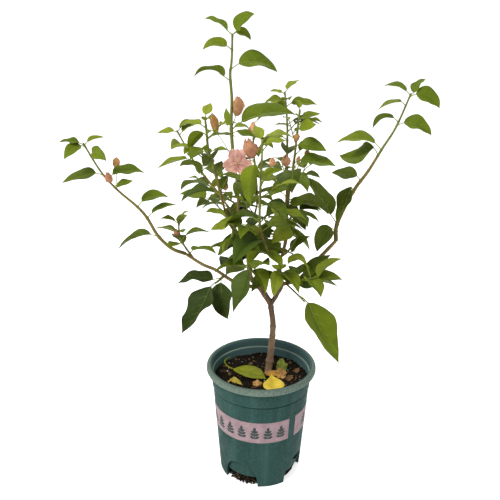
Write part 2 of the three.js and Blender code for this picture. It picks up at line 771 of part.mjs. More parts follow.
// The leaves of a shoot that touch nothing that is already in place.
function placedLeaves(name, shoot, obstacles) {
  const placed = [];
  const wanted = [
    ...shoot.single.map((_, i) => (swing) => singleLeaf(name, shoot, i, swing)),
    ...Array.from({ length: shoot.rule?.count ?? 0 }, (_, i) => (swing) => leafByRule(name, shoot, i, swing)),
    ...shoot.twigs.flatMap((_, k) =>
      TWIG.leaves.map((_, j) => (swing) => twigLeaf(name, shoot, k, j, swing)),
    ),
  ];
  for (const make of wanted)
    for (const swing of SWINGS) {
      const leaf = make(swing);
      const blade = bladeSolid(leaf, { grow: CLEAR });
      if (obstacles.some((o) => o.owner !== name + " stalks" && touches(blade, o))) continue;
      const stalk = rodSolid(leaf.root, leaf.foot, LEAF.petioleRadius + CLEAR);
      if (obstacles.some((o) => !o.owner.startsWith(name) && touches(stalk, o))) continue;
      placed.push(leaf);
      obstacles.push(obstacle(blade, name), obstacle(stalk, name + " stalks"));
      break;
    }
  return placed;
}

function obstacle(solid, owner) {
  const { min, max } = solid.boundingBox();
  const box = new THREE.Box3(vec(min), vec(max));
  return { solid, owner, box };
}

function touches(solid, other) {
  const { min, max } = solid.boundingBox();
  if (!other.box.intersectsBox(new THREE.Box3(vec(min), vec(max)))) return false;
  return solid.intersect(other.solid).volume() > 1e-6;
}

// A dropped leaf, let down until it lies on the soil.
function settledBlade({ foot, ...leaf }, soil) {
  const blade = { ...leaf, foot: vec([...foot, SOIL.top + leaf.length / 4]), roll: 0, fold: FALLEN_FOLD };
  const ground = obstacle(soil, "soil");
  while (!touches(bladeSolid(blade, { grow: CLEAR }), ground)) blade.foot.z -= 0.1;
  return blade;
}

// A closed bloom: three papery bracts that meet round the flowers, on a thin stalk.
function budSolid(foot, along, height) {
  const radius = height * BLOOM.budRadius;
  const profile = [
    [0, 0],
    [radius, height * 0.34],
    [radius * 0.75, height * 0.78],
    [0, height],
  ].map(([r, h]) => new THREE.Vector2(r, h));
  const geometry = new THREE.LatheGeometry(profile, 6);
  geometry.rotateX(Math.PI / 2);
  geometry.applyQuaternion(new THREE.Quaternion().setFromUnitVectors(UP, along));
  geometry.translate(...foot.toArray());
  return solidOf(geometry);
}

// A bract of an open bloom: a broad blade that lies across `facing` and points to `spoke`.
function bractSolid(foot, spoke, facing, length) {
  const lying = { heading: 0, length, slopes: [22, -24], roll: 0, fold: 6, widthShare: BLOOM.bractWidth };
  const side = new THREE.Vector3().crossVectors(facing, spoke);
  const placing = new THREE.Matrix4().makeBasis(spoke, side, facing).setPosition(foot);
  return bladeSolid({ ...lying, foot: new THREE.Vector3() }).transform(placing.toArray());
}

function bloomSolids(name, [share, turn, stalk, height, faces]) {
  const root = curves[name].getPoint(share);
  const rising = outward(turn).multiplyScalar(BLOOM.stalkLean).add(UP).normalize();
  const foot = root.clone().addScaledVector(rising, stalk);
  const open = faces !== undefined;
  const lean = open ? BLOOM.openLean : BLOOM.closedLean;
  const facing = outward(faces ?? turn).multiplyScalar(lean).add(UP).normalize();
  const solids = [rodSolid(root, foot.clone().addScaledVector(facing, 1.5), 0.5)];
  if (!open) return [...solids, budSolid(foot, facing, height)];
  solids.push(budSolid(foot, facing, height * BLOOM.openBud));
  const across = new THREE.Vector3().crossVectors(UP, facing).normalize();
  for (let i = 0; i < BLOOM.bracts; i++) {
    const spoke = across.clone().applyAxisAngle(facing, rad(BLOOM.firstBract + (360 / BLOOM.bracts) * i));
    solids.push(bractSolid(foot, spoke, facing, height * BLOOM.bractShare));
  }
  return solids;
}

// ---- assembly ------------------------------------------------------------------------------

const part = new THREE.Group();

function addNode(name, solid, colour, roughness) {
  const material = new THREE.MeshStandardMaterial({ color: colour, roughness, metalness: 0 });
  const mesh = new THREE.Mesh(geometryOf(solid), material);
  mesh.name = name;
  part.add(mesh);
}

const pot = potSolid();
addNode("pot", pot, COLOURS.pot, 0.55);

const soil = soilSolid();
addNode("soil", soil, COLOURS.soil, 1);
const droppedColours = [COLOURS.fallenGreen, COLOURS.fallenYellow, COLOURS.fallenOrange];
Object.entries(FALLEN).forEach(([name, leaf], i) => {
  addNode(name, bladeSolid(settledBlade(leaf, soil)), droppedColours[i], 0.6);
});

// Trunk and boughs: each is cut back from those before it, so that they meet with a fine gap.
const fatLimbs = [];
for (const [name, limb] of Object.entries(LIMBS)) {
  stemCurve(name, limb);
  const detail = name === "trunk" ? TRUNK_DETAIL : LIMB_DETAIL;
  let solid = stemSolid(name, limb, detail);
  for (const fat of fatLimbs) solid = solid.subtract(fat);
  fatLimbs.push(stemSolid(name, limb, { ...detail, grow: CLEAR }));
  if (name === "trunk") solid = solid.trimByPlane(UP.toArray(), SOIL.top + CLEAR);
  addNode(name, mainBody(solid), COLOURS.bark, 0.85);
}

// Shoots: all stems are laid out first, then leaves take the room that is left.
const obstacles = [obstacle(pot, "pot"), obstacle(soil, "soil")];
fatLimbs.forEach((fat) => obstacles.push(obstacle(fat, "limbs")));
const shootEntries = Object.entries(SHOOTS).map(([name, shoot]) => [
  name,
  { single: [], twigs: [], blooms: [], ...shoot },
]);
for (const [name, shoot] of shootEntries) {
  stemCurve(name, shoot);
  const fat = stemSolid(name, shoot, { ...shootDetail(shoot), grow: CLEAR });
  const stem = obstacle(fat, name);
  shoot.blocked = fatLimbs.concat(obstacles.filter((o) => o.isStem).map((o) => o.solid));
  stem.isStem = true;
  obstacles.push(stem);
}
for (const [name, shoot] of shootEntries) {
  shoot.twigs.forEach((twig, k) => layTwig(name, twig, k));
  shoot.twigSolids = shoot.twigs.map((_, k) => stemSolid(twigName(name, k), TWIG, TWIG_DETAIL));
  shoot.twigSolids.forEach((solid) => obstacles.push(obstacle(solid, name + " stalks")));
}
for (const [name, shoot] of shootEntries) {
  const others = obstacles.filter((o) => o.owner !== name);
  shoot.bloomSolids = shoot.blooms
    .map((bloom) => joined(bloomSolids(name, bloom)))
    .filter((solid) => !others.some((o) => o.owner !== "limbs" && touches(solid, o)));
  shoot.bloomSolids.forEach((solid) => obstacles.push(obstacle(solid, name)));
}
for (const [name, shoot] of shootEntries) {
  const stem = stemSolid(name, shoot, shootDetail(shoot));
  const leaves = placedLeaves(name, shoot, obstacles);
  const pieces = leaves.map((leaf) => bladeSolid(leaf, { root: leaf.root }));
  let solid = joined([stem, ...shoot.twigSolids, ...pieces, ...shoot.bloomSolids]);
  for (const fat of shoot.blocked) solid = solid.subtract(fat);
  addNode(name, mainBody(solid.simplify(0.15)), COLOURS.leaf, 0.5);
}

export default part;
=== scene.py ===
"""Looks of a young bougainvillea in its plastic nursery pot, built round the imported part.

The named sizes, tables and rules of the part's source are written again here, in millimetres, and
carried to finer leaves, stalks, bark, blossom and soil. A mesh is scaled to metres as it is made.
"""

import math
from functools import partial

import bmesh
import bpy
import numpy as np
from mathutils import Matrix, Vector
from mathutils.kdtree import KDTree


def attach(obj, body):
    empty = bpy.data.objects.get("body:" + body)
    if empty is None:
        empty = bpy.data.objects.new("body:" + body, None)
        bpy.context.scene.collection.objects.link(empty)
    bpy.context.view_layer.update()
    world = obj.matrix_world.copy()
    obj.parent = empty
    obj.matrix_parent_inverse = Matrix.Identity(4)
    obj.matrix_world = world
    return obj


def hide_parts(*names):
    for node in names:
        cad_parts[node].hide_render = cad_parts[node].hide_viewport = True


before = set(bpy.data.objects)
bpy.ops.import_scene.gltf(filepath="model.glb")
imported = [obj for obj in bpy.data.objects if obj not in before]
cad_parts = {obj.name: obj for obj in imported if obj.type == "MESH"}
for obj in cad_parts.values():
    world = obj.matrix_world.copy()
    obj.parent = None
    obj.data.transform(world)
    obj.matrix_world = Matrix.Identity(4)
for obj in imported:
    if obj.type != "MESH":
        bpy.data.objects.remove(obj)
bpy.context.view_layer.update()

# ---- driving dimensions of the part, in millimetres and degrees ---------------------------------

MM = 0.001
UP = np.array([0.0, 0.0, 1.0])
FRONT = np.array([0.0, -1.0, 0.0])

POT_HEIGHT = 175
RIM_RADIUS = 80
LIP_HEIGHT = 9
NECK_RADIUS = 72.4
FOOT_RADIUS = 60.2
WALL = 2.2
FLOOR = 3
STEP_HEIGHT = 143
STEP_OUT = 0.9
LEDGE_DEPTH = 12

ARCHES = 4
ARCH_TURN = -29
ARCH_WIDTH = 52
ARCH_HEIGHT = 39
ARCH_SQUARENESS = 2.6
PANEL_RADIUS = 57.2
PANEL_THICK = 2.2
SLOT_HEIGHT = 15
SLOT_DEPTH_AT = 48
PLUG_RADIUS = 51

SOIL_TOP = 150
SOIL_RELIEF = 1.6
SOIL_PAD = 15
TRUNK_FOOT = (11, 14, SOIL_TOP)

# A blade: width over length, fold, and the share of its length where it is widest.
LEAF_WIDTH = 0.6
LEAF_FOLD = 18
WIDEST = 0.36
BROADER = 0.97  # so that a blade's rounded outline covers what the plain one with corners does
# A leaf stalk: length over the blade's, how much it leans along its stem, and its radius.
PETIOLE_SHARE = 0.24
PETIOLE_RISE = 0.8
PETIOLE_RADIUS = 0.55
# A twig, its leaves as shares of its length and turns from its own, and their length over others'.
TWIG_LENGTH = 30
TWIG_RISE = 0.9
TWIG_RADII = (0.9, 0.6)
TWIG_LEAVES = [(0.5, -75), (0.78, 80), (0.97, 5)]
TWIG_LEAF_SHARE = 0.62
# Turns round its stem that a leaf tries in order until it clears the others.
SWINGS = (0, 20, -20, 40, -40, 62, -62)

# Where a stem starts, as a place or as another stem and the share of its length, the points it runs
# through, and its radii at foot and tip.
LIMBS = {
    "trunk": (TRUNK_FOOT, [(15, 14, 195), (16.5, 13, 232), (12, 12, 266)], (5.3, 4.2)),
    "left_fork": (("trunk", 1), [
        (-4, 10, 291), (-17, 8, 308), (-20, 9, 336), (-27, 12, 360)], (3.5, 2.3)),
    "right_fork": (("trunk", 0.97), [
        (22, 11, 281), (28, 10, 296), (25, 11, 314), (24, 12, 332)], (2.8, 1.9)),
    "left_bough": (("left_fork", 0.25), [
        (-24, -5, 300), (-42, -12, 310), (-64, -20, 329), (-82, -26, 340), (-104, -31, 357)
    ], (2.4, 1.8)),
    "leader_bough": (("left_fork", 1), [
        (-34, 19, 392), (-35, 22, 425), (-38, 22, 452)], (2, 1.5)),
    "mid_left_bough": (("left_fork", 0.98), [
        (-45, -5, 389), (-50, -15, 408), (-55, -28, 432)], (1.8, 1.4)),
    "upper_left_bough": (("left_fork", 0.9), [(-40, 25, 391), (-61, 45, 416)], (1.6, 1.3)),
    "front_bough": (("right_fork", 0.98), [(10, -10, 346), (2, -30, 372)], (1.7, 1.3)),
    "back_bough": (("right_fork", 1), [(30, 25, 342), (35, 45, 357), (32, 65, 383)], (1.8, 1.4)),
    "mid_right_bough": (("back_bough", 0.33), [(33, 20, 381), (33, 12, 410)], (1.6, 1.3)),
    "right_bough": (("right_fork", 0.5), [
        (49, 6, 304), (68, 10, 323), (92, 20, 346), (103, 26, 356)], (2.5, 2.3)),
    "rear_bough": (("left_fork", 0.75), [(-16, 40, 366), (-8, 70, 396)], (1.6, 1.3)),
}
SHOOTS = {
    "left_shoot": (("left_bough", 1), [
        (-121, -36, 366), (-138, -40, 385), (-151, -45, 412), (-164, -48, 429), (-185, -52, 450),
        (-203, -58, 475), (-221, -64, 512)], (1.7, 0.7)),
    "left_sprig": (("left_bough", 0.9), [(-109, -30, 376), (-113, -26, 404)], (1, 0.6)),
    "left_skirt": (("left_bough", 0.5), [(-58, -26, 318), (-64, -40, 318)], (1.3, 0.8)),
    "fork_skirt": (("left_fork", 0.62), [(-17, -12, 329), (-15, -32, 338)], (1.3, 0.8)),
    "centre_skirt": (("mid_left_bough", 0.12), [(-37, -10, 384), (-45, -24, 404)], (1.2, 0.8)),
    "upper_left_shoot": (("upper_left_bough", 1), [
        (-81, 60, 437), (-96, 72, 453), (-108, 84, 471), (-124, 95, 497)], (1.2, 0.7)),
    "mid_left_shoot": (("mid_left_bough", 1), [
        (-62, -50, 473), (-69, -66, 505), (-71, -75, 534), (-72, -80, 547)], (1.3, 0.7)),
    "leader_shoot": (("leader_bough", 1), [
        (-42, 20, 486), (-44, 18, 520), (-43, 15, 553), (-45, 12, 585), (-43, 10, 604),
        (-42, 7, 636)], (1.7, 0.8)),
    "front_shoot": (("front_bough", 1), [
        (-4, -45, 392), (-6, -62, 419), (-6, -85, 461), (-5, -105, 505), (-5, -112, 526)
    ], (1.3, 0.7)),
    "back_shoot": (("back_bough", 1), [
        (35, 80, 408), (35, 98, 449), (35, 110, 493), (33, 115, 524), (30, 118, 550)
    ], (1.4, 0.7)),
    "mid_right_shoot": (("mid_right_bough", 1), [
        (34, 0, 438), (38, -15, 480), (40, -28, 517), (42, -36, 550)], (1.3, 0.7)),
    "mid_right_skirt": (("back_bough", 0.12), [(36, 4, 350), (46, -12, 376)], (1.2, 0.8)),
    "right_shoot": (("right_bough", 1), [
        (105, 36, 379), (127, 50, 422), (148, 59, 450), (167, 68, 480), (185, 76, 508),
        (205, 89, 553)], (2.1, 0.8)),
    "right_skirt": (("right_bough", 0.2), [(46, -12, 311), (66, -24, 320)], (1.2, 0.8)),
    "front_skirt": (("right_fork", 0.72), [(22, -8, 323), (20, -28, 334)], (1.2, 0.8)),
    "right_drop": (("right_bough", 0.06), [(45, -20, 297), (57, -38, 291)], (0.9, 0.7)),
    "rear_shoot": (("rear_bough", 1), [
        (-10, 98, 430), (-14, 122, 466), (-14, 138, 502)], (1.2, 0.7)),
    "rear_skirt": (("rear_bough", 0.5), [(10, 62, 354), (34, 78, 340)], (1.2, 0.8)),
    "rear_left_shoot": (("rear_bough", 0.8), [(-44, 92, 392), (-84, 118, 412)], (1.2, 0.7)),
}
# Leaves along a shoot by the rule: their number, the bare share of the stem, the first turn, the
# step between turns, the lengths of the oldest and the youngest, the slopes of the oldest.
RULES = {
    "left_sprig": (9, 0.15, 60, 137, (36, 19), (20, -10)),
    "fork_skirt": (5, 0.2, 210, 137, (58, 44), (6, -56)),
    "upper_left_shoot": (5, 0.08, 255, 144, (46, 26), (14, -40)),
    "mid_left_shoot": (8, 0.04, 280, 137, (48, 19), (10, -44)),
    "front_shoot": (8, 0.04, 330, 137, (58, 24), (8, -48)),
    "back_shoot": (9, 0.03, 120, 137, (52, 27), (12, -42)),
    "mid_right_shoot": (7, 0.05, 60, 144, (54, 19), (10, -42)),
    "right_skirt": (4, 0.2, 90, 137, (54, 44), (10, -34)),
    "front_skirt": (4, 0.3, 300, 137, (50, 40), (10, -50)),
    "rear_shoot": (8, 0.05, 190, 137, (52, 28), (10, -44)),
    "rear_skirt": (6, 0.2, 180, 137, (62, 48), (0, -62)),
    "rear_left_shoot": (7, 0.08, 200, 137, (48, 27), (8, -46)),
}
# Leaves that a fitting program solved one by one from points read off the photo:
# share of the shoot, turn, length, slopes at foot and tip, roll.
SINGLES = {
    "left_shoot": [
        (0.27, 275, 50, 0, -50, 0), (0.42, 100, 35, 35, 0, 5), (0.55, 105, 37, 35, -25, 20),
        (0.74, 70, 26, 5, 30, 30), (0.8, 100, 41, 20, -20, 20), (0.83, 280, 44, -10, -20, -20),
        (0.94, 50, 30, 25, -50, 70), (0.99, 105, 22, 30, -5, 15), (0.99, 285, 25, 20, -10, -15),
        (0.98, 315, 29, -5, -55, -30)],
    "left_skirt": [
        (0.74, 330, 81, -50, -10, 20), (0.3, 355, 58, -75, -5, 35), (0.3, 265, 53, 15, -35, -10)],
    "fork_skirt": [
        (0.95, 305, 61, -65, -45, 15), (0.84, 225, 48, -5, -70, 75), (0.99, 150, 20, 15, -50, -5)
    ],
    "centre_skirt": [
        (0.98, 248, 30, 34, -24, 50), (0.72, 273, 27, -17, -18, -36), (0.3, 210, 27, 41, 25, -6),
        (0.3, 301, 55, -34, 6, 60), (0.3, 126, 35, -20, -3, 70)],
    "upper_left_shoot": [
        (0.97, 275, 25, 0, -15, -25), (0.94, 110, 27, 45, 0, 10), (0.55, 265, 49, -15, -25, -5),
        (0.28, 245, 37, 85, -50, 45), (0, 315, 28, -65, -10, 50)],
    "mid_left_shoot": [
        (0.65, 245, 32, -40, -65, 35), (0.41, 350, 30, -20, 0, -25), (0.23, 145, 25, 0, 35, 25),
        (0.06, 150, 23, 85, 5, 15)],
    "leader_shoot": [
        (0.99, 55, 36, 70, 5, 70), (0.99, 255, 34, 50, 0, 30), (0.99, 95, 23, 15, -70, 50),
        (0.9, 270, 34, 30, -50, -35), (0.72, 95, 54, 20, -45, 35), (0.62, 280, 44, 50, -50, 20),
        (0.3, 90, 74, 30, -15, 20), (0.31, 205, 25, 60, 60, -75), (0.27, 85, 31, -20, -10, 15)],
    "front_shoot": [
        (0.73, 275, 50, -75, -95, 75), (0.67, 120, 23, 40, -5, 30), (0.95, 90, 24, 10, 0, 20)],
    "back_shoot": [
        (0.83, 85, 38, 5, -10, 25), (0.87, 270, 28, 20, -45, -20), (0.97, 270, 19, 10, 0, -20)],
    "mid_right_shoot": [
        (0.9, 85, 23, 15, 10, 30), (0.84, 35, 31, -20, 35, 55), (0.64, 65, 36, 0, -20, 45),
        (0.48, 90, 48, 0, -10, 20), (0.1, 50, 27, -25, 35, 50), (0.27, 315, 34, 15, -45, -35),
        (0.04, 311, 38, -1, -45, -29), (0.01, 325, 35, -38, -23, -41), (0.02, 34, 31, -46, 0, 65)
    ],
    "mid_right_skirt": [
        (0.98, 233, 44, -19, -59, 74), (0.3, 89, 36, 67, 17, 21), (0.3, 254, 39, 18, -18, -42)],
    "right_shoot": [
        (0.99, 120, 29, 75, 5, 5), (0.99, 250, 34, 35, -15, -15), (0.98, 90, 43, 5, -65, 60),
        (0.94, 250, 36, -5, -40, -10), (0.86, 265, 37, 15, -75, -15), (0.84, 75, 45, 10, -55, 40),
        (0.65, 260, 56, 20, -25, -15), (0.61, 225, 68, -50, 10, -40), (0.41, 245, 39, 5, -5, -40),
        (0.33, 320, 57, -60, -45, 25), (0.16, 235, 72, 55, 35, 0), (0.1, 310, 43, -15, -85, -40)],
    "right_skirt": [
        (0.3, 50, 33, 5, 5, 70), (0.82, 85, 42, 20, -20, 20), (0.56, 105, 52, 45, 15, 0),
        (0.99, 230, 46, 70, -70, 40)],
    "front_skirt": [(0.99, 305, 37, -40, -95, -45), (0.3, 100, 35, -15, -25, 40)],
    "right_drop": [(0.66, 35, 91, -50, -35, -10)],
}
# Leafy twigs of a shoot: share of the shoot and turn.
TWIGS = {
    "upper_left_shoot": [(0.4, 100)],
    "mid_left_shoot": [(0.35, 260), (0.62, 60)],
    "front_shoot": [(0.3, 80), (0.55, 70)],
    "back_shoot": [(0.3, 200), (0.6, 110)],
    "mid_right_shoot": [(0.3, 120), (0.66, 200)],
    "rear_shoot": [(0.35, 250), (0.6, 120)],
    "rear_left_shoot": [(0.5, 230)],
}
# Blooms of a shoot: share, turn, stalk length, height and, if it lies open, the turn it faces.
# Nine of the 16 rows match what a fitting program gave.
BLOOMS = {
    "left_shoot": [(0.72, 185, 27, 15), (0.76, 290, 4, 14)],
    "left_sprig": [(0.32, 288, 20, 10)],
    "mid_left_shoot": [(0.07, 94, 43, 32, 6)],
    "leader_shoot": [(0.3, 145, 20, 26), (0.09, 274, 45, 27)],
    "front_shoot": [(0.69, 250, 23, 23), (0.63, 113, 26, 12)],
    "back_shoot": [(0.35, 340, 11, 19), (0.3, 185, 14, 15)],
    "mid_right_shoot": [
        (0.39, 124, 17, 9), (0.21, 88, 32, 17), (0.35, 84, 36, 10), (0.62, 5, 12, 12)],
    "rear_shoot": [(0.72, 185, 16, 18)],
    "rear_left_shoot": [(0.62, 200, 12, 15)],
}
# Dropped leaves: foot from above, heading, length, slopes at foot and tip, width over length.
FALLEN = {
    "fallen_leaf_green": ((-42, 20), -31, 58, (12, -10), 0.6),
    "fallen_leaf_yellow": ((20, -42), 98, 40, (14, -6), 0.8),
    "fallen_leaf_orange": ((30, -2), 168, 25, (24, -16), 0.6),
}
FALLEN_FOLD = 8

# ---- small tools --------------------------------------------------------------------------------


def mix(a, b, share):
    return a + (b - a) * share


def unit(v):
    return v / np.linalg.norm(v, axis=-1, keepdims=True)


def outward(turn):
    """Level direction at `turn` degrees: 0 is the front, 90 the right."""
    return np.array([math.sin(math.radians(turn)), -math.cos(math.radians(turn)), 0.0])


class Draws:
    """Evenly spread numbers from 0 to 1 that depend only on the seed, as in the part's source."""

    def __init__(self, seed):
        self.state = seed

    def draw(self):
        self.state = (self.state * 1664525 + 1013904223) % 2**32
        return self.state / 2**32

    def spread(self):
        return self.draw() * 2 - 1

    def between(self, low, high):
        return mix(low, high, self.draw())


class Curve:
    """Catmull-Rom curve through points, with shares evenly dealt to its spans."""

    def __init__(self, points, radii):
        points = np.array(points, float)
        before = 2 * points[0] - points[1]
        after = 2 * points[-1] - points[-2]
        self.points = np.vstack([before, points, after])
        self.spans = len(points) - 1
        self.radii = radii

    def at(self, share):
        place = np.clip(np.asarray(share, float), 0, 1) * self.spans
        span = np.minimum(place.astype(int), self.spans - 1)
        w = (place - span)[..., None]
        p0, p1, p2, p3 = (self.points[span + k] for k in range(4))
        m0, m1 = (p2 - p0) / 2, (p3 - p1) / 2
        cubic = (2 * p1 - 2 * p2 + m0 + m1) * w**3
        return p1 + m0 * w + (3 * p2 - 3 * p1 - 2 * m0 - m1) * w**2 + cubic

    def along(self, share):
        low = np.maximum(np.asarray(share, float) - 1e-4, 0)
        high = np.minimum(np.asarray(share, float) + 1e-4, 1)
        return unit(self.at(high) - self.at(low))

    def length(self):
        points = self.at(np.linspace(0, 1, 60))
        return float(np.linalg.norm(np.diff(points, axis=0), axis=1).sum())


class Forms:
    """Many small closed forms that become one mesh object."""

    def __init__(self):
        self.points = []
        self.faces = []
        self.count = 0

    def add(self, points, faces):
        points = np.asarray(points, float).reshape(-1, 3)
        self.points.append(points)
        self.faces += [[i + self.count for i in face] for face in faces]
        self.count += len(points)

    def skin(self, rings, pole=None):
        """Closes rings of equally many points, flat at each end or at a pole."""
        rings = np.asarray(rings, float)
        n, sides = rings.shape[:2]
        faces = [list(range(sides))[::-1]]
        for i in range(n - 1):
            for j in range(sides):
                a = i * sides + j
                b = i * sides + (j + 1) % sides
                faces.append([a, b, b + sides, a + sides])
        points = rings.reshape(-1, 3)
        last = (n - 1) * sides
        if pole is None:
            faces.append([last + j for j in range(sides)])
        else:
            points = np.vstack([points, pole])
            faces += [[last + j, last + (j + 1) % sides, n * sides] for j in range(sides)]
        self.add(points, faces)


def placed(name, data):
    """A new object of some data, in the scene."""
    piece = bpy.data.objects.new(name, data)
    bpy.context.scene.collection.objects.link(piece)
    return piece


def made(name, forms, material, nodes=(), smooth=40):
    """The mesh object of some forms, in metres, as a finished piece of the plant."""
    mesh = bpy.data.meshes.new(name)
    mesh.from_pydata((np.vstack(forms.points) * MM).tolist(), [], forms.faces)
    mesh.update()
    finished(placed(name, mesh), material, nodes, smooth)


def finished(piece, material, nodes=(), smooth=40):
    mesh = piece.data
    mesh.polygons.foreach_set("use_smooth", [True] * len(mesh.polygons))
    mesh.set_sharp_from_angle(angle=math.radians(smooth))
    mesh.materials.clear()
    mesh.materials.append(material)
    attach(piece, "root")
    if nodes:
        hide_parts(*nodes)


# ---- camera, light and floor --------------------------------------------------------------------

CAMERA_AT = (-17.8, -901.5, 694.0)
CAMERA_DOWN = 20.82
CAMERA_ROLL = 0.5
CAMERA_LENS = 50.4
SENSOR = 36
LAMPS_AIM = (0, 0, 0.3)
WHITE_STRENGTH = 0.62  # of the backdrop and of the floor, so that the two look alike
FLOOR_SIZE = 80.0


def add_camera():
    down, roll = math.radians(CAMERA_DOWN), math.radians(CAMERA_ROLL)
    forward = Vector((0, math.cos(down), -math.sin(down)))
    level_up = Vector((1, 0, 0)).cross(forward)
    right = Vector((math.cos(roll), 0, 0)) + level_up * math.sin(roll)
    camera = placed("camera", bpy.data.cameras.new("camera"))
    camera.data.lens = CAMERA_LENS
    camera.data.sensor_width = SENSOR
    camera.data.clip_start, camera.data.clip_end = 0.02, 50
    turn = Matrix((right, right.cross(forward), -forward)).transposed().to_4x4()
    camera.matrix_world = Matrix.Translation(Vector(CAMERA_AT) * MM) @ turn
    bpy.context.scene.camera = camera


def add_lamp(name, place, size, power, colour=(1, 1, 1)):
    data = bpy.data.lights.new(name, "AREA")
    data.shape = "DISK"
    data.size = size
    data.energy = power
    data.color = colour
    lamp = placed(name, data)
    lamp.location = place
    way = Vector(LAMPS_AIM) - Vector(place)
    lamp.rotation_euler = way.to_track_quat("-Z", "Y").to_euler()


def add_light():
    world = bpy.data.worlds.new("studio")
    bpy.context.scene.world = world
    world.use_nodes = True
    background = world.node_tree.nodes["Background"]
    background.inputs["Color"].default_value = (0.96, 0.98, 1, 1)
    background.inputs["Strength"].default_value = WHITE_STRENGTH
    add_lamp("key", (-1.1, -1.2, 1.9), 0.9, 44, (1, 0.98, 0.94))
    add_lamp("top", (0.3, 1.2, 2.0), 1.5, 16)
    bpy.context.scene.view_settings.view_transform = "Standard"


def add_floor():
    mesh = bpy.data.meshes.new("floor")
    corners = [(x * FLOOR_SIZE, y * FLOOR_SIZE, 0) for x, y in ((-1, -1), (1, -1), (1, 1), (-1, 1))]
    mesh.from_pydata(corners, [], [(0, 1, 2, 3)])
    white = bpy.data.materials.new("floor")
    white.use_nodes = True
    shader = white.node_tree.nodes["Principled BSDF"]
    shader.inputs["Base Color"].default_value = (0.94, 0.94, 0.93, 1)
    shader.inputs["Roughness"].default_value = 0.9
    shader.inputs["Emission Color"].default_value = (1, 1, 1, 1)
    shader.inputs["Emission Strength"].default_value = WHITE_STRENGTH
    mesh.materials.append(white)
    placed("floor", mesh)


# ---- materials ----------------------------------------------------------------------------------


def srgb(red, green, blue, scale=1.0):
    """A colour given as it looks on a screen, from 0 to 255, as linear numbers."""
    values = [c / 255 for c in (red, green, blue)]
    linear = [c / 12.92 if c <= 0.04045 else ((c + 0.055) / 1.055) ** 2.4 for c in values]
    return tuple(c * scale for c in linear) + (1,)


class Paint:
    """Builds a material from noises in the object's own space."""

    def __init__(self, name):
        self.material = bpy.data.materials.new(name)
        self.material.use_nodes = True
        self.nodes = self.material.node_tree.nodes
        self.coordinates = self.node("ShaderNodeTexCoord", "Object", {})

    def feed(self, node, inputs):
        """Links each named input to another node's output, or sets it to a value."""
        for socket, value in inputs.items():
            if hasattr(value, "is_linked"):
                self.material.node_tree.links.new(value, node.inputs[socket])
            else:
                node.inputs[socket].default_value = value

    def node(self, kind, output, inputs, operation=None):
        """The named output of a new node."""
        node = self.nodes.new(kind)
        if operation:
            node.operation = operation
        self.feed(node, inputs)
        return node.outputs[output]

    def noise(self, scale, detail=3, stretch=(1, 1, 1), rough=0.55):
        """Noise with grains of about 1/scale metres."""
        spot = {"Vector": self.coordinates, "Scale": stretch}
        grain = {"Scale": scale, "Detail": detail, "Roughness": rough}
        grain["Vector"] = self.node("ShaderNodeMapping", "Vector", spot)
        return self.node("ShaderNodeTexNoise", "Fac", grain)

    def ramp(self, fac, low, high, start=0.35, end=0.65):
        node = self.nodes.new("ShaderNodeValToRGB")
        ends = node.color_ramp.elements
        ends[0].position, ends[0].color = start, low
        ends[1].position, ends[1].color = end, high
        self.feed(node, {"Fac": fac})
        return node.outputs["Color"]

    def mask(self, fac, start, end):
        return self.ramp(fac, (0, 0, 0, 1), (1, 1, 1, 1), start, end)

    def mixed(self, fac, a, b):
        return self.node("ShaderNodeMixRGB", "Color", {"Fac": fac, "Color1": a, "Color2": b})

    def height(self):
        """The height above the floor, in metres."""
        return self.node("ShaderNodeSeparateXYZ", "Z", {"Vector": self.coordinates})

    def radius(self):
        """The distance from the pot's axis, in metres."""
        both = {0: self.coordinates, 1: (1, 1, 0)}
        level = self.node("ShaderNodeVectorMath", "Vector", both, "MULTIPLY")
        return self.node("ShaderNodeVectorMath", "Value", {0: level}, "LENGTH")

    def leaned(self, lean):
        """The distance from the axis less `lean` times the height: even along a tapering wall."""
        parts = {0: self.height(), 1: -lean, 2: self.radius()}
        return self.node("ShaderNodeMath", "Value", parts, "MULTIPLY_ADD")

    def both(self, a, b):
        """The product of two masks."""
        return self.node("ShaderNodeMath", "Value", {0: a, 1: b}, "MULTIPLY")

    def within(self, value, low, high):
        """Runs from 0 at `low` to 1 at `high`, both in millimetres."""
        ends = {"From Min": low * MM, "From Max": high * MM, "Value": value}
        return self.node("ShaderNodeMapRange", "Result", ends)

    def stripe(self, low, high, soft):
        """1 between two heights in millimetres, with a soft margin inside each."""
        rise = self.within(self.height(), low, low + soft)
        return self.both(rise, self.within(self.height(), high, high - soft))

    def finish(self, colour, roughness, bumps, specular=0.5, rough_scale=120):
        """The material with a mottled gloss and bumps of (height, strength, distance)."""
        low, high = ((level, level, level, 1) for level in roughness)
        look = {"Base Color": colour, "Specular IOR Level": specular}
        look["Roughness"] = self.ramp(self.noise(rough_scale), low, high)
        for height, strength, distance in bumps:
            bump = {"Height": height, "Strength": strength, "Distance": distance}
            if "Normal" in look:
                bump["Normal"] = look["Normal"]
            look["Normal"] = self.node("ShaderNodeBump", "Normal", bump)
        self.feed(self.nodes["Principled BSDF"], look)
        return self.material


def mottled(name, tones, scale, roughness, bump=0.15, distance=0.0004):
    """A material that wavers between two tones as seen on a screen."""
    low, high = (srgb(*tone) for tone in tones)
    paint = Paint(name)
    grain, fine = paint.noise(scale), paint.noise(scale * 6)
    colour = paint.mixed(0.25, paint.ramp(grain, low, high), paint.ramp(fine, low, high))
    bumps = [(grain, bump, distance), (fine, bump, distance / 3)]
    return paint.finish(colour, roughness, bumps, 0.15)


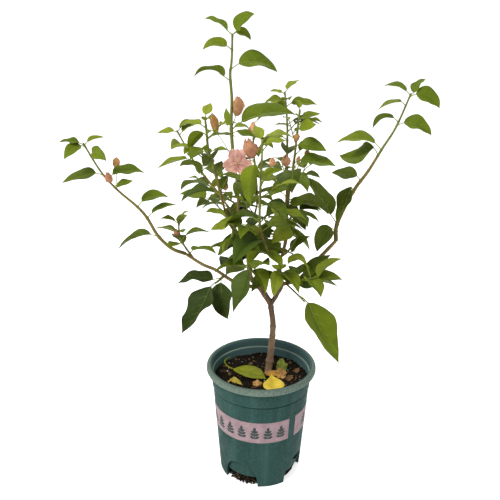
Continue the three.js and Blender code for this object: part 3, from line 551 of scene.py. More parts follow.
def leaf_material(name, red, green, blue):
    low = srgb(red * 0.96, green, blue, 0.7)
    high = srgb(red * 1.04, green, blue * 1.3, 1.3)
    paint = Paint(name)
    cloud, fine = paint.noise(30, 2), paint.noise(420, 4)
    colour = paint.mixed(0.3, paint.ramp(cloud, low, high, 0.3, 0.7), paint.ramp(fine, low, high))
    return paint.finish(colour, (0.5, 0.66), [(fine, 0.12, 0.0003)], 0.12)


def pot_material():
    """Mottled green plastic, paler on its rim, with painted light inside, a painted highlight on
    its ledge and painted shade in the step's groove.
    """
    paint = Paint("pot_plastic")
    cloud = paint.noise(14, 4)
    speck = paint.noise(400, 5, rough=0.75)
    streak = paint.noise(60, 4, stretch=(1, 1, 0.12))
    scratch = paint.noise(240, 3, stretch=(1, 1, 0.08), rough=0.7)
    lean = (wall_radius(POT_HEIGHT) - wall_radius(0)) / POT_HEIGHT
    inner_face = wall_radius(0) + STEP_OUT - 0.6
    ledge, lip = POT_HEIGHT - LEDGE_DEPTH, POT_HEIGHT - LIP_HEIGHT
    # Painted light: the inner wall above the soil is painted paler, as if lit from the front.
    painted_light_inside = paint.both(
        paint.within(paint.leaned(lean), inner_face, inner_face - 0.3),
        paint.within(paint.height(), SOIL_TOP - 6, SOIL_TOP - 4),
    )
    outside = paint.within(paint.leaned(lean), inner_face - 2, inner_face - 1.7)
    # A painted highlight along the top of the inner ledge.
    painted_ledge_highlight = paint.both(paint.stripe(ledge - 1.3, ledge + 0.7, 0.4), painted_light_inside)
    # Painted shade in the groove under the step.
    painted_groove_shade = paint.both(paint.stripe(STEP_HEIGHT - 2.6, STEP_HEIGHT, 0.8), outside)
    rim = paint.both(
        paint.within(paint.height(), lip - 1, lip + 1.5),
        paint.within(paint.radius(), NECK_RADIUS + 1.2, NECK_RADIUS + 2.6),
    )
    colour = paint.ramp(cloud, srgb(32, 56, 53), srgb(42, 69, 65), 0.3, 0.7)
    for mask, tone in (
        (paint.mask(streak, 0.48, 0.8), srgb(52, 80, 76)),
        (paint.mask(speck, 0.5, 0.8), srgb(62, 90, 85)),
        (paint.mask(scratch, 0.7, 0.78), srgb(80, 102, 96)),
        (painted_light_inside, srgb(72, 98, 98)),
        (painted_ledge_highlight, srgb(128, 146, 136)),
        (painted_groove_shade, srgb(22, 40, 38)),
        (rim, paint.mixed(paint.mask(speck, 0.4, 0.7), srgb(82, 98, 90), srgb(116, 128, 117))),
    ):
        colour = paint.mixed(mask, colour, tone)
    bumps = [(speck, 0.12, 0.0004), (cloud, 0.1, 0.001)]
    return paint.finish(colour, (0.46, 0.66), bumps, 0.04, 80)


# ---- pot ----------------------------------------------------------------------------------------

POT_SIDES = 150


def wall_radius(height):
    return mix(FOOT_RADIUS, NECK_RADIUS, height / (POT_HEIGHT - LIP_HEIGHT))


def inside_radius(height):
    top = NECK_RADIUS + STEP_OUT - WALL - 1.2
    share = (height - FLOOR) / (POT_HEIGHT - LEDGE_DEPTH - 1 - FLOOR)
    return mix(FOOT_RADIUS - WALL, top, share)


def pot_profile():
    """Half a section, from the middle of the underside outside up and inside down."""
    foot, rim, top, step = FOOT_RADIUS, RIM_RADIUS, POT_HEIGHT, STEP_HEIGHT
    lip, ledge = top - LIP_HEIGHT, top - LEDGE_DEPTH
    neck = NECK_RADIUS + STEP_OUT
    bore = neck - WALL
    collar = wall_radius(step) + STEP_OUT
    return [
        (0, 0), (foot - 1.5, 0), (foot - 0.4, 0.4), (foot, 1.5),
        *[(wall_radius(z), z) for z in np.linspace(14, step - 3, 9)],
        (wall_radius(step - 2.4) - 0.6, step - 2.4), (wall_radius(step - 1) - 0.6, step - 1),
        (collar - 0.25, step - 0.25), (collar, step + 0.5), (neck - 0.05, lip - 5),
        (neck, lip - 0.6), (neck + 0.5, lip), (rim - 2.2, lip), (rim - 0.7, lip + 0.6),
        (rim, lip + 2.2), (rim, lip + 4.5), (rim - 0.5, lip + 6.6), (rim - 1.5, top - 0.9),
        (rim - 2.9, top - 0.2), (rim - 4.2, top), (bore + 2.4, top - 0.15),
        (bore + 1.3, top - 0.9), (bore + 0.7, top - 2.4), (bore + 0.4, ledge + 0.4),
        (bore - 0.1, ledge), (bore - 0.9, ledge - 0.2), (bore - 1.2, ledge - 1),
        *[(inside_radius(z), z) for z in (120, 80, 40)],
        (foot - WALL, FLOOR), (0, FLOOR),
    ]


def lathe_mesh(profile):
    """A closed solid of revolution as a bmesh, in metres."""
    shape = bmesh.new()
    rings = []
    for radius, height in profile:
        count = POT_SIDES if radius else 1
        angles = [2 * math.pi * j / count for j in range(count)]
        rings.append([
            shape.verts.new((radius * math.cos(t) * MM, radius * math.sin(t) * MM, height * MM))
            for t in angles
        ])
    for low, high in zip(rings, rings[1:]):
        for j in range(POT_SIDES):
            k = (j + 1) % POT_SIDES
            face = [low[j % len(low)], low[k % len(low)], high[k % len(high)], high[j % len(high)]]
            shape.faces.new(list(dict.fromkeys(face)))
    bmesh.ops.recalc_face_normals(shape, faces=shape.faces)
    return shape


def arch_blocks(grow, near):
    """Blocks with an arch's outline that run from `near` to past the rim, as a bmesh."""
    steps = 40
    half = ARCH_WIDTH / 2 + grow
    outline = [(-half, -2)]
    for i in range(steps + 1):
        angle = math.pi * (1 - i / steps)
        across = math.copysign(abs(math.cos(angle)) ** (2 / ARCH_SQUARENESS), math.cos(angle))
        rise = abs(math.sin(angle)) ** (2 / ARCH_SQUARENESS)
        outline.append((half * across, (ARCH_HEIGHT + grow) * rise))
    outline.append((half, -2))
    shape = bmesh.new()
    for number in range(ARCHES):
        turn = Matrix.Rotation(math.radians(ARCH_TURN + 360 / ARCHES * number), 3, "Z")
        near_ring, far_ring = (
            [shape.verts.new(turn @ Vector((x, -depth, z)) * MM) for x, z in outline]
            for depth in (near, RIM_RADIUS + 5)
        )
        for j in range(len(outline)):
            k = (j + 1) % len(outline)
            shape.faces.new([near_ring[j], near_ring[k], far_ring[k], far_ring[j]])
        shape.faces.new(near_ring)
        shape.faces.new(far_ring[::-1])
    bmesh.ops.recalc_face_normals(shape, faces=shape.faces)
    return shape


def object_of(name, shape):
    mesh = bpy.data.meshes.new(name)
    shape.to_mesh(mesh)
    shape.free()
    return placed(name, mesh)


def combined(piece, other, way):
    """Joins, cuts or intersects a piece with another one, which is used up."""
    modifier = piece.modifiers.new(way, "BOOLEAN")
    modifier.operation = way
    modifier.solver = "EXACT"
    modifier.object = other
    bpy.context.view_layer.update()
    view = piece.evaluated_get(bpy.context.evaluated_depsgraph_get())
    mesh = bpy.data.meshes.new_from_object(view)
    piece.modifiers.clear()
    piece.data = mesh
    bpy.data.objects.remove(other)


def add_pot():
    top = STEP_HEIGHT
    inner = PANEL_RADIUS - PANEL_THICK
    ring = [(inner, 0), (wall_radius(0) - 0.4, 0), (wall_radius(top) - 0.4, top), (inner, top)]
    linings = object_of("linings", arch_blocks(PANEL_THICK, 40))
    combined(linings, object_of("ring", lathe_mesh(ring + ring[:1])), "INTERSECT")
    cuts = object_of("cuts", arch_blocks(0, SLOT_DEPTH_AT))
    behind = [(0, SLOT_HEIGHT), (PANEL_RADIUS, SLOT_HEIGHT), (PANEL_RADIUS, top), (0, top)]
    combined(cuts, object_of("behind", lathe_mesh(behind)), "DIFFERENCE")
    pot = object_of("nursery_pot", lathe_mesh(pot_profile()))
    combined(pot, linings, "UNION")
    combined(pot, cuts, "DIFFERENCE")
    finished(pot, pot_material(), ["pot"], 34)


# Printed band round the pot: lowest and highest height, and the azimuths of its pieces.
BAND_LOW, BAND_HIGH = 81.5, 116.4
BAND_SPANS = [(-84, 36), (46, 88), (96, 216), (226, 268)]
BAND_PROUD = 0.22
BAND_THICK = 0.5
SPRIG_STEP = 16.3


def on_wall(azimuth, height, proud):
    """Point on the pot's wall at an azimuth from the front, `proud` millimetres off it."""
    angle = math.radians(azimuth)
    radius = wall_radius(height) + proud
    return (radius * math.sin(angle), -radius * math.cos(angle), height)


def plate_on_wall(forms, azimuths):
    """A thin plate that lies on the wall between the heights of the band."""
    rows = np.linspace(BAND_LOW, BAND_HIGH, 5)
    rings = []
    for azimuth in azimuths:
        inner = [on_wall(azimuth, z, BAND_PROUD - BAND_THICK) for z in rows[::-1]]
        rings.append(inner + [on_wall(azimuth, z, BAND_PROUD) for z in rows])
    forms.skin(rings)


def leaflet_on_wall(forms, azimuth, height, length, width, lean):
    """A small lens-shaped print that points away from (azimuth, height) at a lean from upright."""
    sin, cos = math.sin(math.radians(lean)), math.cos(math.radians(lean))
    shares = np.linspace(0, 1, 13)[:, None]
    spine = length * shares * np.array([sin, cos])
    reach = width / 2 * np.sin(np.pi * shares) ** 0.8 * np.array([cos, -sin])
    outline = [*(spine + reach)[:-1], *(spine - reach)[:0:-1]]
    turn = math.degrees(1 / wall_radius(height))
    forms.skin([
        [on_wall(azimuth + x * turn, height + z, proud) for x, z in outline]
        for proud in (BAND_PROUD - 0.1, BAND_PROUD + 0.12)
    ])


# Leaflets of a printed sprig: height of the foot, length, width and lean to either side.
SPRIG = [(1, 7.6, 4, 64), (5.5, 7.6, 4, 56), (10, 6.4, 3.6, 46)]


def sprig_on_wall(forms, azimuth):
    """A generic printed sprig: a stem with three pairs of leaves and one at its top."""
    foot = (BAND_LOW + BAND_HIGH) / 2 - 10.5
    leaflet_on_wall(forms, azimuth, foot, 16, 1.5, 0)
    leaflet_on_wall(forms, azimuth, foot + 12.5, 8, 4.4, 0)
    for side in (-1, 1):
        for height, length, width, lean in SPRIG:
            leaflet_on_wall(forms, azimuth, foot + height, length, width, lean * side)


def add_band():
    band, prints = Forms(), Forms()
    for first, last in BAND_SPANS:
        span = last - first
        plate_on_wall(band, np.linspace(first, last, int(span / 2) + 1))
        row = [first + 11 + k * SPRIG_STEP for k in range(7)] if span > 60 else [first + span / 2]
        for azimuth in row:
            sprig_on_wall(prints, azimuth)
    pink = mottled("band_print", ((128, 107, 112), (148, 126, 130)), 90, (0.5, 0.7), 0.05)
    made("pot_band", band, pink)
    dark = mottled("band_motif", ((40, 52, 52), (56, 68, 66)), 300, (0.5, 0.7), 0.05)
    made("pot_band_sprigs", prints, dark)


# ---- soil ---------------------------------------------------------------------------------------


def soil_height(x, y):
    away = np.clip((np.hypot(x - TRUNK_FOOT[0], y - TRUNK_FOOT[1]) - SOIL_PAD) / 12, 0, 1)
    waves = np.sin(x * 0.17 + 1.1) + np.sin(y * 0.21 - 0.4) + np.sin((x + y) * 0.11)
    return SOIL_TOP + SOIL_RELIEF * away * waves / 3


def lump(forms, centre, size, draws, flat=1.0, stretch=1.0):
    """An uneven grain: an octahedron with its edges split and its corners moved."""
    corners = [(1, 0, 0), (0, 1, 0), (-1, 0, 0), (0, -1, 0), (0, 0, 1), (0, 0, -1)]
    middles = [(1, 1, 0), (-1, 1, 0), (-1, -1, 0), (1, -1, 0)]
    points = np.array(corners + middles, float)
    points[6:] /= math.sqrt(2)
    points *= np.array([[draws.between(0.7, 1.15)] for _ in points])
    turn, lean = draws.between(0, 2 * math.pi), draws.spread() * 0.6
    points *= (stretch, 1, flat)
    spin = Matrix.Rotation(turn, 3, "Z") @ Matrix.Rotation(lean, 3, "X")
    points = points @ np.array(spin).T * size / 2 + centre
    rim = [0, 6, 1, 7, 2, 8, 3, 9]
    faces = [[rim[j], rim[(j + 1) % 8], 4] for j in range(8)]
    faces += [[rim[(j + 1) % 8], rim[j], 5] for j in range(8)]
    forms.add(points, faces)


SLOT_BULGE = 4.5  # of the crumbs in the first slot
CRUMBS_IN_SLOT, ROOTS_IN_SLOT, CRUMBS_IN_CLOD = 420, 14, 40


def fill_slots(crumbs, grit, roots, draws):
    """Crumbs, grains and fine roots that bulge out of the four slots, and a clod beside one."""
    for number in range(ARCHES):
        centre = ARCH_TURN + 360 / ARCHES * number
        bulge = SLOT_BULGE if number == 0 else 0.0
        for _ in range(CRUMBS_IN_SLOT):
            turn = centre + 20 * draws.spread()
            height = mix(0.8, SLOT_HEIGHT + 1, draws.draw() ** 1.6)
            low = 1 - height / SLOT_HEIGHT
            reach = PLUG_RADIUS + draws.between(-2, 0.5 + bulge / 2) + bulge * low * draws.draw()
            size = draws.between(1.2, 4.4)
            forms = grit if draws.draw() < 0.02 else crumbs
            lump(forms, outward(turn) * reach + UP * max(height, size * 0.6), size, draws)
        for _ in range(ROOTS_IN_SLOT):
            turn = centre + 17 * draws.spread()
            reach = PLUG_RADIUS + draws.between(0, 0.5 + bulge)
            drift = 5 * draws.spread()
            points = []
            for step in range(5):
                height = max(0.7, SLOT_HEIGHT * (1 - step / 4) * draws.between(0.5, 1.05))
                points.append(outward(turn) * reach + UP * height)
                turn += drift + 3 * draws.spread()
                reach = min(reach + 0.15 * bulge * draws.draw(), FOOT_RADIUS - 1)
            rod(roots, points, (0.3, 0.18), 4)
    for _ in range(CRUMBS_IN_CLOD):
        spot = outward(ARCH_TURN + 90 + 4 * draws.spread()) * (PANEL_RADIUS + draws.between(0, 3.5))
        lump(crumbs, spot + UP * draws.between(29, 36), draws.between(1.5, 4), draws)


GROUND_RINGS, GROUND_SIDES = 46, 120
# Crumbs, chips and grit on the soil: number, least and greatest size, flatness and most stretch.
GRAINS = [(3000, (1.2, 6), 0.85, 1.2), (230, (1.8, 6.5), 0.5, 1.9), (170, (0.9, 2.9), 0.9, 1.1)]


def add_ground(ground, radius, draws):
    """The uneven top of the soil, closed by its rim and a flat underside."""
    angles = 2 * np.pi * np.arange(GROUND_SIDES) / GROUND_SIDES
    rows = []
    for reach in radius * np.arange(1, GROUND_RINGS + 1) / GROUND_RINGS:
        x, y = reach * np.cos(angles), reach * np.sin(angles)
        rough = 0.7 * np.array([draws.spread() for _ in angles])
        rows.append(np.stack([x, y, soil_height(x, y) + 0.9 + rough], axis=1))
    under = rows[-1] * (1, 1, 0) + UP * (SOIL_TOP - 6)
    ground.skin([under, *rows[::-1]], (0, 0, SOIL_TOP + 1.0))


def add_soil():
    radius = inside_radius(SOIL_TOP) - 0.2
    draws = Draws(71)
    ground, crumbs, chips, grit, roots = (Forms() for _ in range(5))
    add_ground(ground, radius, draws)
    for forms, (count, sizes, flat, stretch) in zip((crumbs, chips, grit), GRAINS):
        for _ in range(count):
            reach = (radius - 1.5) * math.sqrt(draws.draw())
            angle = draws.between(0, 2 * math.pi)
            x, y = reach * math.cos(angle), reach * math.sin(angle)
            size = mix(*sizes, draws.draw() ** 2)
            z = soil_height(x, y) + 1.0 + size * 0.12
            lump(forms, (x, y, z), size, draws, flat, draws.between(1, stretch))
    fill_slots(crumbs, grit, roots, draws)
    dark = mottled("potting_mix", ((10, 7, 4), (34, 25, 15)), 260, (0.85, 1.0), 0.6)
    brown = mottled("bark_chips", ((44, 28, 16), (120, 90, 58)), 130, (0.8, 0.95), 0.3)
    pale = mottled("pale_grit", ((156, 150, 136), (214, 208, 196)), 200, (0.7, 0.9), 0.2)
    made("soil_surface", ground, dark)
    made("soil_crumbs", crumbs, dark, smooth=70)
    made("soil_chips", chips, brown)
    made("soil_grit", grit, pale)
    fibre = mottled("root_fibre", ((52, 38, 26), (104, 84, 60)), 200, (0.8, 0.95), 0.3)
    made("foot_roots", roots, fibre)
    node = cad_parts["soil"]
    node.data.materials.clear()
    node.data.materials.append(dark)


# ---- stems --------------------------------------------------------------------------------------


def tube(forms, curve, radius_at, sides, shares, relief=None):
    """A round stem along a curve, with its thickness in millimetres as a function of the share."""
    angles = 2 * math.pi * np.arange(sides) / sides
    cos, sin = np.cos(angles)[:, None], np.sin(angles)[:, None]
    across = FRONT
    rings = []
    for share, centre, along in zip(shares, curve.at(shares), curve.along(shares)):
        across = unit(across - across @ along * along)
        swell = relief(share, angles) if relief else np.zeros(sides)
        radius = (radius_at(share) * (1 + swell))[:, None]
        rings.append(centre + radius * (cos * across + sin * np.cross(along, across)))
    forms.skin(rings)


# Every stem laid so far, by its name.
curves = {}


def lay_stem(name, start, path, radii):
    """Lays a limb or a shoot, from a place or from a share of another stem."""
    foot = curves[start[0]].at(start[1]) if isinstance(start[0], str) else start
    curves[name] = Curve([foot, *path], radii)


def lay_twig(name, stem, share, turn, length):
    """Lays a short twig that turns up a little at its tip."""
    root = curves[stem].at(share)
    way = unit(outward(turn) + TWIG_RISE * curves[stem].along(share)) * length
    curves[name] = Curve([root, root + way / 2, root + way + UP * length / 9], TWIG_RADII)


def bark_relief(length, seed):
    """Fine lengthwise ridges that wander round the stem."""
    draws = Draws(seed)
    waves = [
        (draws.between(0, 6.28), 3 * draws.spread(), draws.between(0.01, 0.03)) for _ in range(6)
    ]

    def relief(share, angles):
        total = np.zeros_like(angles)
        for k, (phase, wander, depth) in enumerate(waves):
            ridge = np.sin((k + 2) * angles + phase + wander * math.sin(share * (k + 3)))
            total += depth * ridge * (1 + 0.5 * math.sin(share * length / (5 + k) + phase))
        return total

    return relief


# How much stouter a limb's bark is than the plain limb, and the heights between which the bark
# darkens towards the forks and then turns young.
STOUTER = {"trunk": 0.95, "left_fork": 1.2, "right_fork": 1.15, "left_bough": 1.12}
USUALLY_STOUTER = 1.06
FORK_ZONE = (196, 250)
YOUNG_ZONE = (290, 325)
# Dead stubs: the stem each stands on, the share of its length, the turn it points to, its length.
STUBS = [("left_fork", 0.42, 275, 22), ("right_bough", 0.5, 150, 7), ("trunk", 0.42, 300, 3)]


def add_limb(bark, number, name):
    """A limb with knots, a flared foot and ridged bark."""
    curve = curves[name]
    length = curve.length()
    low, high = curve.radii
    draws = Draws(number * 31 + 7)
    knots = [(draws.between(0.1, 0.95), draws.between(0.06, 0.16)) for _ in range(int(length / 16))]

    def radius(share):
        far = share * length
        flare = 1.4 * math.exp(-far / 6) if name == "trunk" else 0.9 * math.exp(-far / 4)
        swell = sum(s * math.exp(-(((share - k) * length / 2.2) ** 2)) for k, s in knots)
        return mix(low, high, share) * (STOUTER.get(name, USUALLY_STOUTER) + swell) + flare

    shares = np.linspace(0, 1, int(length / 1.6) + 2)
    tube(bark, curve, radius, 28 if low > 3 else 18, shares, bark_relief(length, number * 17 + 3))


def bark_material():
    """Grey-brown on the trunk, dark round the forks and olive on the young boughs above."""
    paint = Paint("bark")
    ridge = paint.noise(420, 5, stretch=(1, 1, 0.22), rough=0.65)
    cloud = paint.noise(46, 3, stretch=(1, 1, 0.5))
    old = paint.ramp(cloud, srgb(136, 108, 86), srgb(172, 144, 116), 0.3, 0.7)
    fork = paint.ramp(cloud, srgb(58, 36, 24), srgb(92, 63, 45), 0.3, 0.7)
    young = paint.ramp(cloud, srgb(105, 89, 34), srgb(138, 121, 54), 0.3, 0.7)
    colour = paint.mixed(paint.within(paint.height(), *FORK_ZONE), old, fork)
    colour = paint.mixed(paint.within(paint.height(), *YOUNG_ZONE), colour, young)
    colour = paint.mixed(0.3, colour, paint.ramp(ridge, srgb(62, 44, 28), srgb(150, 126, 92)))
    return paint.finish(colour, (0.7, 0.9), [(ridge, 0.5, 0.0008), (cloud, 0.2, 0.001)])


def add_limbs():
    bark = Forms()
    for number, (name, limb) in enumerate(LIMBS.items()):
        lay_stem(name, *limb)
        add_limb(bark, number, name)
    for stem, share, turn, length in STUBS:
        root = curves[stem].at(share)
        way = unit(outward(turn) + 0.12 * UP) * length
        rod(bark, [root, root + way / 2 + UP * 0.6, root + way], (1.5, 0.9), 8)
    made("trunk_and_boughs", bark, bark_material(), list(LIMBS), 60)


# ---- leaves and blooms --------------------------------------------------------------------------

TAPER = 1.2  # above 1, so that a blade's margins run slightly hollow into its tip
BLADE_THICK, LOOSE_THICK = 0.36, 0.4
BLADE_SPANS = np.array([1, 0.8, 0.52, 0.24, 0, -0.24, -0.52, -0.8, -1.0])
BRACT_THICK = 0.22
# A blade is raised in this many quilted parts a side, with side veins in the hollows between them.
QUILTS = 6
VEINED_LENGTH = 44  # Shorter blades have no side veins.
VEIN_SLANT = 0.24
VEIN_SWING = np.array([0.02, 0.4, 0.78])
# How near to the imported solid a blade's tip or a bloom's top has to be, in millimetres.
TIP_NEAR, BLOOM_NEAR = 0.5, 0.6


def blade_width(share, widest, taper):
    """Half the width at a share of a blade's length, over its greatest half width."""
    rise = taper * widest / (1 - widest)
    most = widest**rise * (1 - widest) ** taper
    return 0.04 * (1 - share) + 0.97 * share**rise * (1 - share) ** taper / most


def blade_frame(leaf, share):
    """Middle, side and normal of a blade at shares of its length."""
    share = np.asarray(share, float)
    turn = math.radians(leaf["heading"])
    heading = np.array([math.cos(turn), math.sin(turn), 0.0])
    start, end = (math.radians(s) for s in leaf["slopes"])
    bend = end - start if abs(end - start) > 1e-3 else -1e-3
    slope = (start + bend * share)[..., None]
    length = leaf["length"]
    forward = length * (np.sin(slope) - math.sin(start)) / bend
    rise = -length * (np.cos(slope) - math.cos(start)) / bend
    middle = leaf["foot"] + heading * forward + UP * rise
    along = heading * np.cos(slope) + UP * np.sin(slope)
    level = np.cross(UP, heading)
    roll = math.radians(leaf["roll"])
    side = level * math.cos(roll) + np.cross(along, level) * math.sin(roll)
    return middle, side, np.cross(along, side)


def blade_point(leaf, share, across, drop=0.0):
    """Points of a blade: `across` runs from -1 to 1, and `drop` is the depth below its face."""
    share, across = np.broadcast_arrays(share, across)
    middle, side, normal = blade_frame(leaf, share)
    half = leaf["length"] * leaf.get("width", LEAF_WIDTH * BROADER) / 2
    half = half * blade_width(share, leaf.get("widest", WIDEST), leaf.get("taper", TAPER))
    fold = math.radians(leaf["fold"])
    away = np.abs(across)
    lift = away * math.sin(fold) + leaf["arch"] * (away - away**2)
    wave = np.sin(share * leaf["waves"] + leaf["phase"] + np.sign(across) * 0.9)
    lift = lift + leaf["ripple"] * wave * away**2
    hollow = np.abs(np.sin(math.pi * QUILTS * (share - VEIN_SLANT * away)))
    lift = lift + leaf["quilt"] * hollow * away * (1.2 - away)
    reach = (half * across * math.cos(fold))[..., None]
    return middle + side * reach + normal * (half * lift - drop)[..., None]


def dressed(leaf, draws):
    """Adds to a leaf the fine shape that the part's source leaves out."""
    leaf["arch"] = draws.between(0.1, 0.3)
    leaf["ripple"] = draws.between(0.05, 0.18)
    leaf["waves"] = draws.between(7, 12)
    leaf["phase"] = draws.between(0, 6.28)
    leaf["quilt"] = 0.04 + leaf["length"] / 900
    return leaf


def add_blade(forms, leaf, thick=BLADE_THICK):
    stations = int(9 + leaf["length"] / 4)
    shares = np.linspace(0, 1, stations + 1)[:-1, None]
    top = blade_point(leaf, shares, BLADE_SPANS)
    under = BLADE_SPANS[-2:0:-1]
    low = blade_point(leaf, shares, under, thick * (1.15 - np.abs(under)))
    forms.skin(np.concatenate([top, low], axis=1), blade_frame(leaf, 1.0)[0])


def rod(forms, points, radii, sides=5):
    """A thin round rod through points."""
    curve = Curve(points, radii)
    shares = np.linspace(0, 1, 2 * len(points) + 1)
    tube(forms, curve, lambda share: mix(*radii, share), sides, shares)


def add_midrib(forms, leaf):
    """The pale rib along a blade, half sunk in its face."""
    length = leaf["length"]
    shares = np.linspace(0, 0.94, 9)
    spine = blade_point(leaf, shares, np.zeros(9), -0.05)
    rod(forms, spine, (0.009 * length, 0.003 * length), 4)


def add_side_veins(forms, leaf):
    """Fine veins from the midrib to near the margin on both sides."""
    length = leaf["length"]
    for number in range(1, QUILTS - 1):
        shares = number / QUILTS + VEIN_SLANT * VEIN_SWING
        for side in (-1, 1):
            points = blade_point(leaf, shares, side * VEIN_SWING, -0.12)
            rod(forms, points, (0.0045 * length, 0.002 * length), 4)


def leaf_at(name, share, turn, length, slopes, roll, fold):
    root = curves[name].at(share)
    stalk = unit(outward(turn) + PETIOLE_RISE * curves[name].along(share))
    foot = root + stalk * length * PETIOLE_SHARE
    return {
        "root": root, "foot": foot, "heading": turn - 90, "length": length, "slopes": slopes,
        "roll": roll, "fold": fold, "share": share,
    }


def leaf_by_rule(name, i, swing):
    count, bare, first_turn, step, lengths, slopes = RULES[name]
    draws = Draws(list(SHOOTS).index(name) * 1000 + i * 17 + 5)
    draws.draw()
    age = i / (count - 1)
    young = age**3
    share = mix(bare, 0.985, age**0.9)
    turn = first_turn + step * i + 12 * draws.spread() + swing
    length = mix(*lengths, age**1.4) * (1 + 0.13 * draws.spread())
    slope = mix(slopes[0], 48, young) + 12 * draws.spread()
    tip_slope = mix(slopes[1], 8, young) + 16 * draws.spread()
    roll = 16 * draws.spread()
    return leaf_at(name, share, turn, length, (slope, tip_slope), roll, 22 + 12 * draws.spread())


def twig_name(name, k):
    return f"{name}_twig_{k + 1}"


def twig_leaf(name, k, j, swing):
    draws = Draws(list(SHOOTS).index(name) * 1000 + k * 61 + j * 7 + 400)
    draws.draw()
    share, twig_turn = TWIGS[name][k]
    place, turn = TWIG_LEAVES[j]
    turn = twig_turn + turn + 15 * draws.spread() + swing
    usual = mix(*RULES[name][4], share)
    length = usual * TWIG_LEAF_SHARE * (1 + 0.12 * draws.spread())
    slopes = (22 + 12 * draws.spread(), -22 + 16 * draws.spread())
    roll = 16 * draws.spread()
    return leaf_at(twig_name(name, k), place, turn, length, slopes, roll, LEAF_FOLD)


def single_leaf(name, i, swing):
    share, turn, length, slope, tip_slope, roll = SINGLES[name][i]
    return leaf_at(name, share, turn + swing, length, (slope, tip_slope), roll, LEAF_FOLD)


def corner_tree(node):
    """The corners of a CAD node's mesh, in millimetres, for looking up what stands where."""
    corners = [v.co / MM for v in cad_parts[node].data.vertices]
    tree = KDTree(len(corners))
    for i, corner in enumerate(corners):
        tree.insert(corner, i)
    tree.balance()
    return tree


def leaves_of(name):
    """A shoot's leaves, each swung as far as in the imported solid, without those skipped there."""
    makers = [partial(single_leaf, name, i) for i in range(len(SINGLES.get(name, [])))]
    if name in RULES:
        makers += [partial(leaf_by_rule, name, i) for i in range(RULES[name][0])]
    for k in range(len(TWIGS.get(name, []))):
        makers += [partial(twig_leaf, name, k, j) for j in range(len(TWIG_LEAVES))]
    tree = corner_tree(name)
    found = []
    for make in makers:
        for swing in SWINGS:
            leaf = make(swing)
            if tree.find(Vector(blade_frame(leaf, 1.0)[0]))[2] < TIP_NEAR:
                found.append(leaf)
                break
    return found


# Leaf tints from the youngest to the oldest, as they look on a screen; the darker ones are partly
# painted shade.
TINTS = {
    "lime": (116, 129, 28),
    "fresh": (99, 114, 16),
    "green": (85, 102, 13),
    "deep": (72, 87, 15),
    "shade": (58, 75, 17),
    "dusk": (44, 58, 14),
}
# Places along TINTS of a shoot's leaves at its tip and at its root, set by their age and by painted
# shade.
AGES_AND_SHADE = {
    "left_shoot": (2.2, 2.4), "leader_shoot": (1.6, 1.2), "right_shoot": (1.5, 2.5),
    "upper_left_shoot": (0.8, 3.6), "mid_right_shoot": (0.6, 3.6), "centre_skirt": (-1, 2.2),
    "left_skirt": (4.8, 5.4), "fork_skirt": (2.2, 5.4), "front_skirt": (-0.8, 2.8),
    "right_drop": (-0.6, 3),
}
USUAL_AGES_AND_SHADE = (0, 3.6)
SKIRT_AGES_AND_SHADE = (0.4, 4)
# Leaves whose tint is read from the photo, by shoot and place in it, with the light and shade they
# get painted in.
OWN_TINTS = {("fork_skirt", 4): "fresh", ("fork_skirt", 0): "shade"}
# The tints whose ribs are deep, and the tones of the ribs; the deep ribs carry the painted shade of
# those leaves.
DEEP_TINTS = ("shade", "dusk")
RIB_TONES = {
    "pale": ((104, 122, 40), (124, 140, 56)),
    "deep": ((70, 88, 28), (88, 104, 38)),
}
# A leaf that would hang before the open bloom, by shoot and place in it.
LEFT_OUT = {("front_shoot", 8)}
# How much stouter the visual model's leafy stems and leaf stalks are than the plain part's.
STOUT_STEM = 1.5
STOUT_STALK = 1.35
# The share of a shoot, from its foot, that is woody.
WOODY = {
    "left_shoot": 0.86, "right_shoot": 0.62, "left_sprig": 0.2, "leader_shoot": 0.16,
    "left_skirt": 0.6, "right_drop": 0.9,
}
USUALLY_WOODY = 0.3


def tint_of(leaf, ages_and_shade, draws):
    """Young leaves near a tip are pale, old ones low on the plant are dark, partly as painted
    shade.
    """
    youngest, oldest = ages_and_shade
    depth = mix(oldest, youngest, leaf["share"]) + 1.1 * draws.spread() + (leaf["length"] - 40) / 60
    deepest = min(len(TINTS) - 1, max(ages_and_shade) + 0.4)
    return list(TINTS)[round(float(np.clip(depth, 0, deepest)))]


def closed_bloom(forms, foot, facing, height, slim, draws):
    """Three papery bracts whose margins meet in ragged wings and whose tips stand apart."""
    facing = unit(facing)
    across = unit(np.cross(facing, FRONT))
    other = np.cross(facing, across)
    shares, spans = np.linspace(0, 1, 15)[:, None], np.linspace(-1.06, 1.06, 13)
    if slim < 0.85:
        swell = np.sin(np.pi * (0.03 + 0.94 * shares) ** 1.1) ** 0.55
        rag = 0.08
    else:
        swell = np.sin(np.pi * (0.03 + 0.9 * shares) ** 0.85) ** 0.7
        rag = 0.2
    width = height * 0.31 * slim * (0.06 + 0.94 * swell)
    start = draws.between(0, 2.1)
    for bract in range(3):
        ruffle = draws.between(0, 6.28)
        full = height * draws.between(0.88, 1.04)
        wing = 1 + 0.34 * np.abs(spans) ** 3 + 0.09 * np.sin(9 * shares + ruffle + spans * 3)
        wing = wing + 0.06 * np.sin(19 * shares - 2 * ruffle + 6 * spans)
        ragged = 1 - shares * (rag * np.abs(spans) ** 1.5 - 0.05 * np.sin(8 * spans + ruffle))
        middle = foot + facing * (full * shares * ragged)[..., None]
        angles = (start + (2 * bract + spans) * math.pi / 3)[:, None]
        spokes = np.cos(angles) * across + np.sin(angles) * other
        reach = (width * wing)[..., None]
        outer, inner = middle + spokes * reach, middle + spokes * (reach - BRACT_THICK)
        forms.skin(np.concatenate([outer, inner[:, ::-1]], axis=1))


